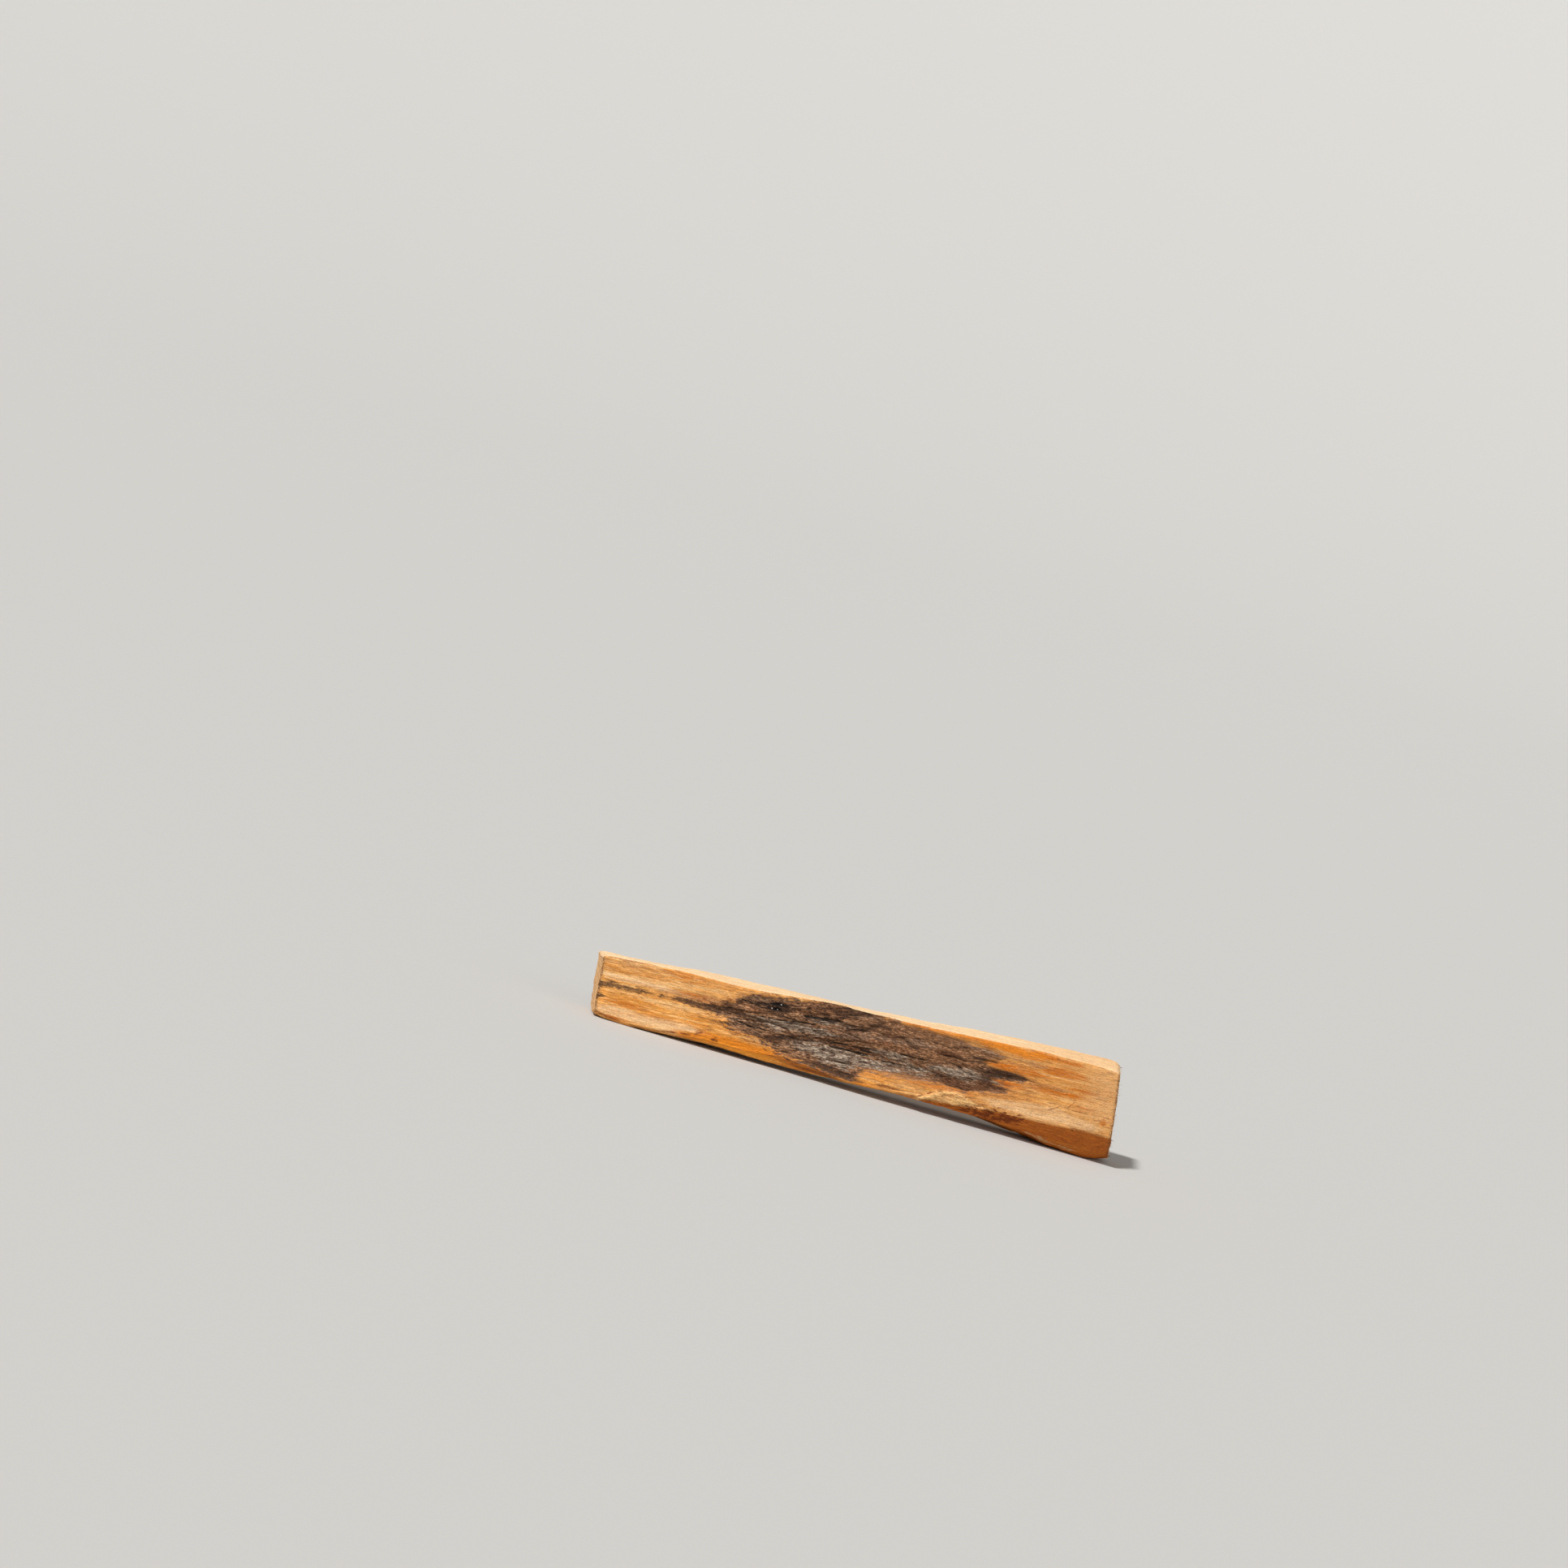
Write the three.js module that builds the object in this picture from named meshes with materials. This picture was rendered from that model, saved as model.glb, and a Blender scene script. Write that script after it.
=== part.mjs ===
import * as THREE from "three";
import { ImprovedNoise } from "three/addons/math/ImprovedNoise.js";

// A palo santo stick: one piece of dry heartwood, split along the grain and sawn across at both ends.
// Sizes are in millimetres. X runs along the grain from the narrow end to the wide end, Y from the face with
// the weathered patch to the back, and Z up from the surface that the stick lies on.

// Driving dimensions: the length, the height of the narrow end and of the highest place near the wide end,
// and the thickness at both ends. Distances along the stick are measured from the tip of the narrow end.
const LENGTH = 102;
const NARROW_HEIGHT = 11.55;
const WIDE_HEIGHT = 18.3;
const NARROW_THICKNESS = 9.5;
const WIDE_THICKNESS = 12.4;

// The saw cuts lean a little: how far an end moves along X for each millimetre of height and of depth.
const NARROW_CUT = { at: 2.2, perHeight: -0.12, perDepth: -0.085 };
const WIDE_CUT = { at: 102, perHeight: -0.147, perDepth: 0.053 };

// The five long edges, each as points of distance along, depth from the front, and height above the surface.
// Depths are shares of the thickness there, and heights are in millimetres.
const FRONT_TOP_EDGE = [
  [0, 0.02, NARROW_HEIGHT],
  [2, 0, 11.9],
  [9, 0, 12.5],
  [17, 0, 13.0],
  [26, 0, 13.3],
  [33, 0.04, 13.75],
  [39, 0.12, 14.4],
  [44, 0.19, 14.8],
  [48.5, 0.21, 14.95],
  [53, 0.17, 15.2],
  [58, 0.08, 15.6],
  [63, 0.02, 16],
  [71, 0, 16.6],
  [81, 0, 17.4],
  [90, 0, 17.85],
  [97, 0, 17.9],
  [LENGTH, 0.02, 17.6],
];
const BACK_TOP_EDGE = [
  [0, 0.99, NARROW_HEIGHT - 0.4],
  [1.4, 1, 11.1],
  [11, 1, 11.75],
  [21, 1, 12.85],
  [31, 1, 13.5],
  [41, 1, 13.95],
  [51, 1, 14.4],
  [61, 1, 15.25],
  [71, 1, 16.3],
  [81, 1, 17.15],
  [91, 1, 17.9],
  [97.5, 1, WIDE_HEIGHT],
  [99.6, 1, 18.2],
  [LENGTH, 0.99, 17.5],
];
const FRONT_LOW_EDGE = [
  [0, 0.07, 3.4],
  [1.6, 0.03, 1.8],
  [4, 0, 0.95],
  [8, 0, 0.65],
  [13, 0, 0.8],
  [20, 0, 1.45],
  [27, 0, 1.8],
  [33, 0, 2],
  [38, 0, 2.65],
  [44, 0, 2.35],
  [52, 0, 1.8],
  [62, 0, 2.55],
  [72, 0, 3.45],
  [79, 0, 4.25],
  [87, 0, 4.6],
  [95, 0, 5.35],
  [LENGTH, 0, 5.45],
];
const UNDER_FRONT_EDGE = [
  [0, 0.2, 2.6],
  [1.6, 0.12, 0.8],
  [3.9, 0.08, 0.2],
  [7.5, 0.08, 0],
  [12, 0.08, 0.25],
  [19.5, 0.06, 0.8],
  [28, 0.06, 1.1],
  [37, 0.12, 0.8],
  [47, 0.15, 1.1],
  [53, 0.11, 1.4],
  [58, 0.09, 1.9],
  [67, 0.09, 2.2],
  [75, 0.12, 2.05],
  [82, 0.2, 1.7],
  [87, 0.26, 1.35],
  [89.2, 0.28, 0.75],
  [92.5, 0.3, 0.3],
  [96, 0.31, 0.05],
  [99, 0.32, 0.3],
  [LENGTH, 0.34, 1.5],
];
const UNDER_BACK_EDGE = [
  [0, 0.9, 2.3],
  [1.5, 0.92, 0.7],
  [3.5, 0.93, 0],
  [15, 0.93, 0],
  [26, 0.92, 0.5],
  [42, 0.91, 1],
  [60, 0.9, 1.75],
  [74, 0.91, 1.6],
  [83, 0.92, 0.6],
  [88, 0.92, 0],
  [99, 0.92, 0],
  [LENGTH, 0.9, 1.1],
];

// How many steps the mesh takes along the stick, and from the rim of a sawn end to its middle.
const STEPS_ALONG = 86;
const CAP_RINGS = 4;

// The weathered hollow on the front: distances along, each with the heights of its lower and upper outline.
const HOLLOW_OUTLINE = [
  [22, 7.4, 7.8],
  [26, 5.9, 9.9],
  [32, 4.9, 12.6],
  [37, 3.2, 13.9],
  [44, 2.6, 15.2],
  [50.5, 2.2, 15.2],
  [54, 4.3, 15.1],
  [62, 5.4, 15.2],
  [72, 6.6, 15.3],
  [79, 8.3, 14.4],
  [85, 10.8, 11.6],
];

// The grain's ridges: their lengths along and across it, and each size's share of the relief.
const GRAIN_WAVES = [
  { along: 19, across: 2.9, share: 0.65 },
  { along: 8, across: 1.6, share: 0.35 },
];

// How far the grain stands out on each face, and how rough the saw left the ends.
const FRONT_GRAIN = 0.12;
const WEATHERED_GRAIN = 0.34;
const FACET_GRAIN = 0.2;
const SPLIT_GRAIN = 0.32;
const TOP_GRAIN = 0.1;
const SAW_ROUGHNESS = { height: 0.22, size: 2.1 };
const EDGE_WANDER = { height: 0.08, length: 3.1 };

// The larger forms: where they lie, how deep or high they are, and how softly their steps turn.
const HOLLOW = { depth: 0.7, softness: 1.5 };
const WORN_LEDGE = { up: 9.9, rise: -0.02, step: 0.4, softness: 0.45, waver: 0.5, waverLength: 9 };
const FLAKE = { along: 63.2, up: 2.7, rise: 0.6, until: 75, top: 6, step: 0.45, softness: 0.3 };
const RESIN_PIT = { along: 34.6, up: 11.5, halfLength: 2.1, halfHeight: 1.2, depth: 0.8 };
const KNOT = { along: 98.5, up: 7.9, halfLength: 1.3, halfHeight: 1.3, depth: -0.25 };
const BACK_LEDGE = { up: 6.4, rise: 0.045, step: 0.8, softness: 0.5, waver: 0.9, waverLength: 14 };
const BACK_LEDGE_REACH = { from: 8, until: 92, fade: 20 };
const UNDERSIDE_BELLY = 0.6;

function smoothStep(low, high, value) {
  return THREE.MathUtils.smoothstep(value, low, high);
}
function fadeOut(low, high, value) {
  return 1 - smoothStep(low, high, value);
}

// Smooth noise, from about -1 to 1, with a layer of its own for each seed.
const perlin = new ImprovedNoise();
function noise(a, b, seed) {
  return 1.4 * perlin.noise(a, b, seed + 0.5);
}

// Long ridges that follow the grain: slow along the stick, quick across it.
function grain(along, across, seed) {
  return GRAIN_WAVES.reduce((sum, wave, n) => {
    const ridge = noise(along / wave.along, across / wave.across, seed + n);
    return sum + wave.share * ridge;
  }, 0);
}

// The values of a curve at a distance along the stick: each of its points gives a distance and its values.
function curveAt(curve, along) {
  const last = curve.length - 1;
  const next = curve.findIndex((point) => point[0] > along);
  const k = THREE.MathUtils.clamp(next < 0 ? last - 1 : next - 1, 0, last - 1);
  const neighbours = [k - 1, k, k + 1, k + 2].map((n) => THREE.MathUtils.clamp(n, 0, last));
  const [before, from, to, after] = neighbours.map((n) => curve[n]);
  const span = to[0] - from[0];
  const t = THREE.MathUtils.clamp((along - from[0]) / span, 0, 1);
  return from.slice(1).map((value, n) => {
    const startSlope = ((to[n + 1] - before[n + 1]) / (to[0] - before[0])) * span;
    const endSlope = ((after[n + 1] - value) / (after[0] - from[0])) * span;
    const start = (2 * t ** 3 - 3 * t ** 2 + 1) * value + (t ** 3 - 2 * t ** 2 + t) * startSlope;
    const end = (3 * t ** 2 - 2 * t ** 3) * to[n + 1] + (t ** 3 - t ** 2) * endSlope;
    return start + end;
  });
}

function thicknessAt(along) {
  return THREE.MathUtils.lerp(NARROW_THICKNESS, WIDE_THICKNESS, along / LENGTH);
}

// Where the slice at a share of the length crosses a depth and height, between the two leaning saw cuts.
function sliceAt(share, depth, height) {
  const narrow = NARROW_CUT.at + NARROW_CUT.perDepth * depth + NARROW_CUT.perHeight * height;
  const wide = WIDE_CUT.at + WIDE_CUT.perDepth * depth + WIDE_CUT.perHeight * height;
  return THREE.MathUtils.lerp(narrow, wide, share);
}

// The corner that an edge makes in a slice, with a small wander, because no split edge is quite straight.
function cornerOf(edge, share, seed) {
  let along = share * LENGTH;
  let depth = 0;
  let height = 0;
  for (let pass = 0; pass < 2; pass += 1) {
    const [depthShare, edgeHeight] = curveAt(edge, along);
    depth = depthShare * thicknessAt(along);
    height = Math.max(edgeHeight, 0);
    along = sliceAt(share, depth, height);
  }
  const wander = EDGE_WANDER.height * noise(along / EDGE_WANDER.length, 0.5, seed);
  return new THREE.Vector3(along, depth + wander, height + wander);
}

// How far a point of the front lies inside the weathered hollow, from 0 at its outline to 1.
function weathering(along, height) {
  const [low, high] = curveAt(HOLLOW_OUTLINE, along);
  const inside = along > HOLLOW_OUTLINE[0][0] && along < HOLLOW_OUTLINE.at(-1)[0];
  const overLow = smoothStep(0, HOLLOW.softness, height - low);
  const underHigh = smoothStep(0, HOLLOW.softness, high - height);
  return inside ? overLow * underHigh : 0;
}

// A round form on a face: 1 at its middle and 0 from its rim outwards.
function spot(form, along, height) {
  const reach = Math.hypot((along - form.along) / form.halfLength, (height - form.up) / form.halfHeight);
  return fadeOut(0, 1, reach);
}

// A ledge along the grain: 0 below its wavering line and 1 above it.
function overLedge(ledge, along, height, seed) {
  const line = ledge.up + ledge.rise * along + ledge.waver * noise(along / ledge.waverLength, 0.5, seed);
  return smoothStep(-ledge.softness, ledge.softness, height - line);
}

// The relief of each face: how far a point stands out of the flat face. Across the face t runs from 0 to 1.
function frontRelief(point) {
  const worn = weathering(point.x, point.z);
  const ridges = THREE.MathUtils.lerp(FRONT_GRAIN, WEATHERED_GRAIN, worn) * grain(point.x, point.z, 21);
  const ledge = WORN_LEDGE.step * overLedge(WORN_LEDGE, point.x, point.z, 23);
  const pastFlake = FLAKE.rise * (point.x - FLAKE.along) - (point.z - FLAKE.up);
  const flakeFade = fadeOut(FLAKE.along, FLAKE.until, point.x) * fadeOut(FLAKE.up, FLAKE.top, point.z);
  const flake = FLAKE.step * smoothStep(-FLAKE.softness, FLAKE.softness, pastFlake) * flakeFade;
  const pits = [RESIN_PIT, KNOT].reduce((sum, form) => sum + form.depth * spot(form, point.x, point.z), 0);
  return ridges + worn * (ledge - HOLLOW.depth) + flake - pits;
}
function lowFacetRelief(point) {
  return FACET_GRAIN * grain(point.x, point.z, 31);
}
function undersideRelief(point, t) {
  const belly = UNDERSIDE_BELLY * ((2 * point.x) / LENGTH - 1) ** 2;
  return SPLIT_GRAIN * grain(point.x, point.y, 41) + belly * Math.sin(Math.PI * t);
}
function backRelief(point) {
  const { from, until, fade } = BACK_LEDGE_REACH;
  const reach = smoothStep(from, from + fade, point.x) * fadeOut(until - fade, until, point.x);
  const underLedge = 1 - overLedge(BACK_LEDGE, point.x, point.z, 53);
  return SPLIT_GRAIN * grain(point.x, point.z, 51) + BACK_LEDGE.step * reach * underLedge;
}
function topRelief(point) {
  return TOP_GRAIN * grain(point.x, point.y, 61);
}

// The faces round the stick, in their order, with the mesh's steps across each.
const FACES = [
  { steps: 18, relief: frontRelief },
  { steps: 4, relief: lowFacetRelief },
  { steps: 8, relief: undersideRelief },
  { steps: 11, relief: backRelief },
  { steps: 7, relief: topRelief },
];
const EDGES = [FRONT_TOP_EDGE, FRONT_LOW_EDGE, UNDER_FRONT_EDGE, UNDER_BACK_EDGE, BACK_TOP_EDGE];
const EDGE_FADE = 0.25;
const RING_SIZE = FACES.reduce((sum, face) => sum + face.steps, 0);

// One slice across the stick: its corners, and the points of each face between them. The relief fades out
// towards a face's long edges, and nothing reaches below the surface that the stick lies on.
function sliceRing(share) {
  const corners = EDGES.map((edge, k) => cornerOf(edge, share, k + 1));
  return FACES.flatMap((face, k) => {
    const from = corners[k];
    const to = corners[(k + 1) % corners.length];
    const across = new THREE.Vector3().subVectors(to, from);
    const outward = new THREE.Vector3(0, across.z, -across.y).normalize();
    return Array.from({ length: face.steps }, (_, n) => {
      const t = n / face.steps;
      const point = from.clone().addScaledVector(across, t);
      const fade = Math.min(1, t / EDGE_FADE, (1 - t) / EDGE_FADE);
      point.addScaledVector(outward, fade * face.relief(point, t));
      point.z = Math.max(point.z, 0);
      return point;
    });
  });
}

// The rings of a sawn end, from its rim inwards, with the roughness that the saw leaves.
function endRings(rim, seed) {
  const middle = rim.reduce((sum, point) => sum.add(point), new THREE.Vector3()).divideScalar(rim.length);
  const rings = [];
  for (let ring = 1; ring < CAP_RINGS; ring += 1) {
    rings.push(
      rim.map((point) => {
        const inner = point.clone().lerp(middle, ring / CAP_RINGS);
        const { height, size } = SAW_ROUGHNESS;
        inner.x += height * noise(inner.y / size, inner.z / size, seed);
        return inner;
      }),
    );
  }
  return { rings, middle };
}

// Two outward triangles for each square between two neighbouring rings.
function joinRings(indices, first, second) {
  for (let j = 0; j < RING_SIZE; j += 1) {
    const next = (j + 1) % RING_SIZE;
    indices.push(first + j, first + next, second + j);
    indices.push(first + next, second + next, second + j);
  }
}

// The whole surface, as rings from the narrow end's middle along the stick to the wide end's middle.
function stickGeometry() {
  const slices = Array.from({ length: STEPS_ALONG + 1 }, (_, n) => sliceRing(n / STEPS_ALONG));
  const narrowEnd = endRings(slices[0], 71);
  const wideEnd = endRings(slices[STEPS_ALONG], 72);
  const rings = [...narrowEnd.rings.reverse(), ...slices, ...wideEnd.rings];
  const points = [...rings.flat(), narrowEnd.middle, wideEnd.middle];
  const indices = [];
  for (let ring = 0; ring < rings.length - 1; ring += 1) {
    joinRings(indices, ring * RING_SIZE, (ring + 1) * RING_SIZE);
  }
  const lastRing = (rings.length - 1) * RING_SIZE;
  const narrowMiddle = points.length - 2;
  const wideMiddle = points.length - 1;
  for (let j = 0; j < RING_SIZE; j += 1) {
    const next = (j + 1) % RING_SIZE;
    indices.push(narrowMiddle, next, j);
    indices.push(wideMiddle, lastRing + j, lastRing + next);
  }
  const geometry = new THREE.BufferGeometry().setFromPoints(points);
  geometry.setIndex(indices);
  geometry.computeVertexNormals();
  return geometry;
}

const heartwood = new THREE.MeshStandardMaterial({ color: 0xd9a563, roughness: 0.8, metalness: 0 });

const stick = new THREE.Mesh(stickGeometry(), heartwood);
stick.name = "stick";

// The origin is under the middle of the stick, on the surface that it lies on.
const box = new THREE.Box3().setFromObject(stick);
const centre = box.getCenter(new THREE.Vector3());
stick.geometry.translate(-centre.x, -centre.y, -box.min.z);

const group = new THREE.Group();
group.add(stick);
export default group;
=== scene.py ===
import itertools
import math

import bpy
import numpy as np
from mathutils import Matrix, Vector
from mathutils.bvhtree import BVHTree


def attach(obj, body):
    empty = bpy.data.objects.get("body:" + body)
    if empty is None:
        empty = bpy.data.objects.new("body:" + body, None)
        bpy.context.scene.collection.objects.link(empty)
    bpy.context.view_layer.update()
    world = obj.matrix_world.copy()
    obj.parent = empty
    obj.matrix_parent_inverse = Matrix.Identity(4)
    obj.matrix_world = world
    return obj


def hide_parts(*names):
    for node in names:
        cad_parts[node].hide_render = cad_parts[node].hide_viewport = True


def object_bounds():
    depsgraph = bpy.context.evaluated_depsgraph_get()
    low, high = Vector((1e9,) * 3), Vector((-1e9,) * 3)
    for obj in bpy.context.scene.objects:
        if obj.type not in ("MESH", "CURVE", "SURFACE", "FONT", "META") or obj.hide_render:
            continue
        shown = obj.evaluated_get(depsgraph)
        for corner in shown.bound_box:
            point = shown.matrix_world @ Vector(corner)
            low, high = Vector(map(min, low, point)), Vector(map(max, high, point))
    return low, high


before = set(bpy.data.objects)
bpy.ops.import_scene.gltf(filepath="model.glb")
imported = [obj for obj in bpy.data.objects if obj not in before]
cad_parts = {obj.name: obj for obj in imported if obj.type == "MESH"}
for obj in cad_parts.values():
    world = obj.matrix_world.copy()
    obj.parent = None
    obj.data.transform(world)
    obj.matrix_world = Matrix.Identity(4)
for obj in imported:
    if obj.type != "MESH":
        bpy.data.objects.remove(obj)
cad_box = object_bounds()
MM = 0.001

# The camera stands low in front of the broad weathered face, a little towards the narrow end, with a long
# lens. It is rolled, so that the stick slopes down to the right in the picture as it does in the photograph.
PHOTO_SIDE = 1932
FOCAL_LENGTH_PIXELS = 8000
AIMED_PIXEL = (1056, 1300)
AIMED_POINT = Vector((0.35, -1.18, 6.4)) * MM
CAMERA_DISTANCE = 1.212
CAMERA_AZIMUTH = math.radians(4.0)
CAMERA_ELEVATION = math.radians(7.8)
CAMERA_ROLL = math.radians(17.0)
SENSOR_WIDTH_MM = 36

backwards = Vector((
    -math.sin(CAMERA_AZIMUTH) * math.cos(CAMERA_ELEVATION),
    -math.cos(CAMERA_AZIMUTH) * math.cos(CAMERA_ELEVATION),
    math.sin(CAMERA_ELEVATION),
))
level = backwards.to_track_quat("Z", "Y").to_matrix()
rolled = level @ Matrix.Rotation(CAMERA_ROLL, 3, "Z")
half_side = PHOTO_SIDE / 2
sight = Vector((AIMED_PIXEL[0] - half_side, half_side - AIMED_PIXEL[1], -FOCAL_LENGTH_PIXELS))
off_centre = sight.rotation_difference(Vector((0, 0, -1))).to_matrix()

camera_data = bpy.data.cameras.new("camera")
camera_data.sensor_width = SENSOR_WIDTH_MM
camera_data.lens = FOCAL_LENGTH_PIXELS / PHOTO_SIDE * SENSOR_WIDTH_MM
camera_data.clip_start = 0.01
camera_data.clip_end = 50
camera = bpy.data.objects.new("camera", camera_data)
bpy.context.scene.collection.objects.link(camera)
place = Matrix.Translation(AIMED_POINT + CAMERA_DISTANCE * backwards)
camera.matrix_world = place @ (rolled @ off_centre).to_4x4()
bpy.context.scene.camera = camera

# The stick is one piece of palo santo heartwood, split from a log along its grain, so that its long faces are
# torn bundles of fibres, and sawn across at both ends. A fine net of points is laid over the solid, slice by
# slice. The slices lean as the two saw cuts do: (along per depth, along per height).
SLICES = 192
POINTS_ROUND = 400
END_RINGS = 20
FRONT_CROWDING = 1.7
NARROW_LEAN = (-0.085, -0.12)
WIDE_LEAN = (0.053, -0.147)
END_MARGIN = 0.004
END_REACH = 6
SEAM_ANGLE = -0.95
RAYS_ROUND = 1440
FRONT_DEPTH = 1.5
CLOSE_SLICES = np.array([0, 0.08, 0.2, 0.4, 0.7, 1.1])
EVEN_SLICES_FROM = 1.6

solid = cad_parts["stick"].data
corners = np.array([vertex.co for vertex in solid.vertices]) / MM
hull = BVHTree.FromPolygons(corners.tolist(), [face.vertices[:] for face in solid.polygons])
lowest, highest = corners.min(0), corners.max(0)
narrow_core = corners[corners[:, 0] < lowest[0] + END_REACH].mean(0)
wide_core = corners[corners[:, 0] > highest[0] - END_REACH].mean(0)
narrow_core = np.array(hull.ray_cast(narrow_core.tolist(), (-1, 0, 0))[0])
wide_core = np.array(hull.ray_cast(wide_core.tolist(), (1, 0, 0))[0])
core_length = wide_core[0] - narrow_core[0]


def slice_ring(share, angles):
    """The points where rays from the core line meet the solid, in the slice at a share of the length."""
    share_inside = min(max(share, END_MARGIN), 1 - END_MARGIN)
    core = narrow_core + share_inside * (wide_core - narrow_core)
    per_depth, per_height = (a + share * (b - a) for a, b in zip(NARROW_LEAN, WIDE_LEAN))
    ring = np.empty((len(angles), 3))
    for n, angle in enumerate(angles):
        depth, height = math.cos(angle), math.sin(angle)
        ray = Vector((per_depth * depth + per_height * height, depth, height))
        ring[n] = hull.ray_cast(core.tolist(), ray)[0]
    ring[:, 0] += (share - share_inside) * core_length
    return ring


# The points lie evenly round the middle slice, but closer on the broad front. The slices crowd at the ends.
all_round = SEAM_ANGLE + np.linspace(0, 2 * math.pi, RAYS_ROUND + 1)
middle_ring = slice_ring(0.5, all_round)
steps = np.linalg.norm(np.diff(middle_ring, axis=0), axis=1)
on_front = middle_ring[1:, 1] < lowest[1] + FRONT_DEPTH
crowded = np.concatenate([[0], np.cumsum(steps * np.where(on_front, FRONT_CROWDING, 1))])
places = np.linspace(0, crowded[-1], POINTS_ROUND, endpoint=False)
angles = np.interp(places, crowded, all_round)
even_count = SLICES - 2 * len(CLOSE_SLICES)
between = np.linspace(EVEN_SLICES_FROM, core_length - EVEN_SLICES_FROM, even_count)
stations = np.concatenate([CLOSE_SLICES, between, core_length - CLOSE_SLICES[::-1]])
skin = np.array([slice_ring(station / core_length, angles) for station in stations])


def soften(grid, passes_along, passes_round):
    """Evens out the solid's flat facets: each pass moves a point halfway to the mean of its neighbours."""
    for _ in range(passes_round):
        grid = grid / 2 + (np.roll(grid, 1, 1) + np.roll(grid, -1, 1)) / 4
    for _ in range(passes_along):
        padded = np.concatenate([2 * grid[:1] - grid[1:2], grid, 2 * grid[-1:] - grid[-2:-1]])
        grid = grid / 2 + (padded[:-2] + padded[2:]) / 4
    return grid


def outward(grid):
    """The unit normals of the net."""
    along = np.gradient(grid, axis=0)
    round_it = np.roll(grid, -1, 1) - np.roll(grid, 1, 1)
    normals = np.cross(round_it, along)
    return normals / np.linalg.norm(normals, axis=-1, keepdims=True)


skin = soften(skin, passes_along=3, passes_round=7)
normals = outward(skin)

# The stains and the worn hollow, in millimetres from the narrow end's tip and above the surface that the
# stick lies on. Each outline gives distances along, with its lower and its upper height there.
HOLLOW = [
    [(24, 7.3, 8.5), (25.2, 7.0, 9.5), (26.4, 6.6, 10.0), (26.9, 5.3, 10.3), (28, 5.2, 11.0), (29, 5.2, 12.0),
     (31, 5.0, 12.5), (33, 4.6, 12.8), (35, 4.1, 13.0), (36.5, 3.4, 13.2), (39, 3.1, 13.7), (41, 3.0, 14.3),
     (45, 2.7, 15.0), (48, 2.4, 15.2), (50, 2.1, 15.1), (51.3, 2.1, 15.1), (51.8, 3.1, 15.1),
     (53.5, 4.4, 15.1), (57, 5.0, 15.0), (62, 5.6, 15.1), (66, 6.1, 15.3), (70, 6.2, 15.5),
     (73, 6.2, 15.4), (74.6, 7.0, 13.5), (76.6, 9.6, 9.9)],
    [(70, 12.3, 15.5), (74, 12.4, 15.5), (76.5, 13.0, 15.3), (78.3, 14.0, 14.6)],
    [(73, 10.0, 12.4), (76, 10.0, 12.3), (78.5, 10.2, 12.0), (80.5, 10.6, 11.9), (82.5, 11.1, 11.8),
     (84.3, 11.4, 11.6)],
    [(73, 6.6, 9.6), (75.5, 7.2, 9.4), (77, 7.5, 9.1), (78.5, 7.9, 8.9), (80.6, 8.5, 8.7)],
    [(79, 14.3, 14.6), (82, 14.3, 14.8), (85, 14.6, 14.7)],
]
STREAK = [
    [(1.2, 5.9, 6.9), (2.2, 5.8, 7.3), (3.2, 6.0, 7.2), (4.5, 6.3, 7.1), (6, 6.4, 7.2), (8, 6.6, 7.3),
     (10, 6.9, 7.3)],
    [(12.6, 7.3, 7.35), (15, 7.25, 7.55), (16, 7.15, 7.95), (18, 7.1, 8.1), (20, 7.1, 8.2), (22, 7.1, 8.4),
     (24, 7.1, 8.6), (27, 7.6, 9.2)],
    [(1.5, 4.1, 4.1), (2.3, 3.4, 4.8), (3.1, 4.3, 4.0)],
    [(23.8, 5.6, 5.8), (26, 5.7, 6.1), (27.5, 5.9, 6.4)],
    [(74.5, 10.2, 11.6), (78, 10.0, 11.9), (81, 10.7, 11.9), (84, 11.3, 11.6)],
    [(46, 12.9, 13.9), (47.4, 12.4, 15.1), (48.6, 13.6, 15.1), (50.5, 14.7, 15.1)],
    [(30.4, 7.6, 8.2), (31.6, 7.5, 8.4), (32.6, 7.7, 8.0)],
    [(28.3, 7.5, 7.9), (29.2, 7.4, 8.1)],
    [(35.4, 5.7, 6.1), (36.8, 5.6, 6.5), (38.6, 5.9, 6.4)],
    [(42, 2.9, 3.1), (44.6, 2.7, 3.4), (46, 2.5, 3.6), (49, 2.2, 3.1), (51.4, 2.1, 3.0)],
]
BLACK = [
    [(28.0, 10.9, 11.1), (30, 10.8, 11.3), (32, 10.9, 11.6), (33.5, 11.0, 12.0), (35, 11.2, 12.4),
     (36.3, 11.7, 12.1)],
    [(30.8, 10.5, 10.9), (33.0, 10.5, 11.1), (34.2, 10.4, 11.4), (35.3, 10.7, 11.5)],
]
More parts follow.
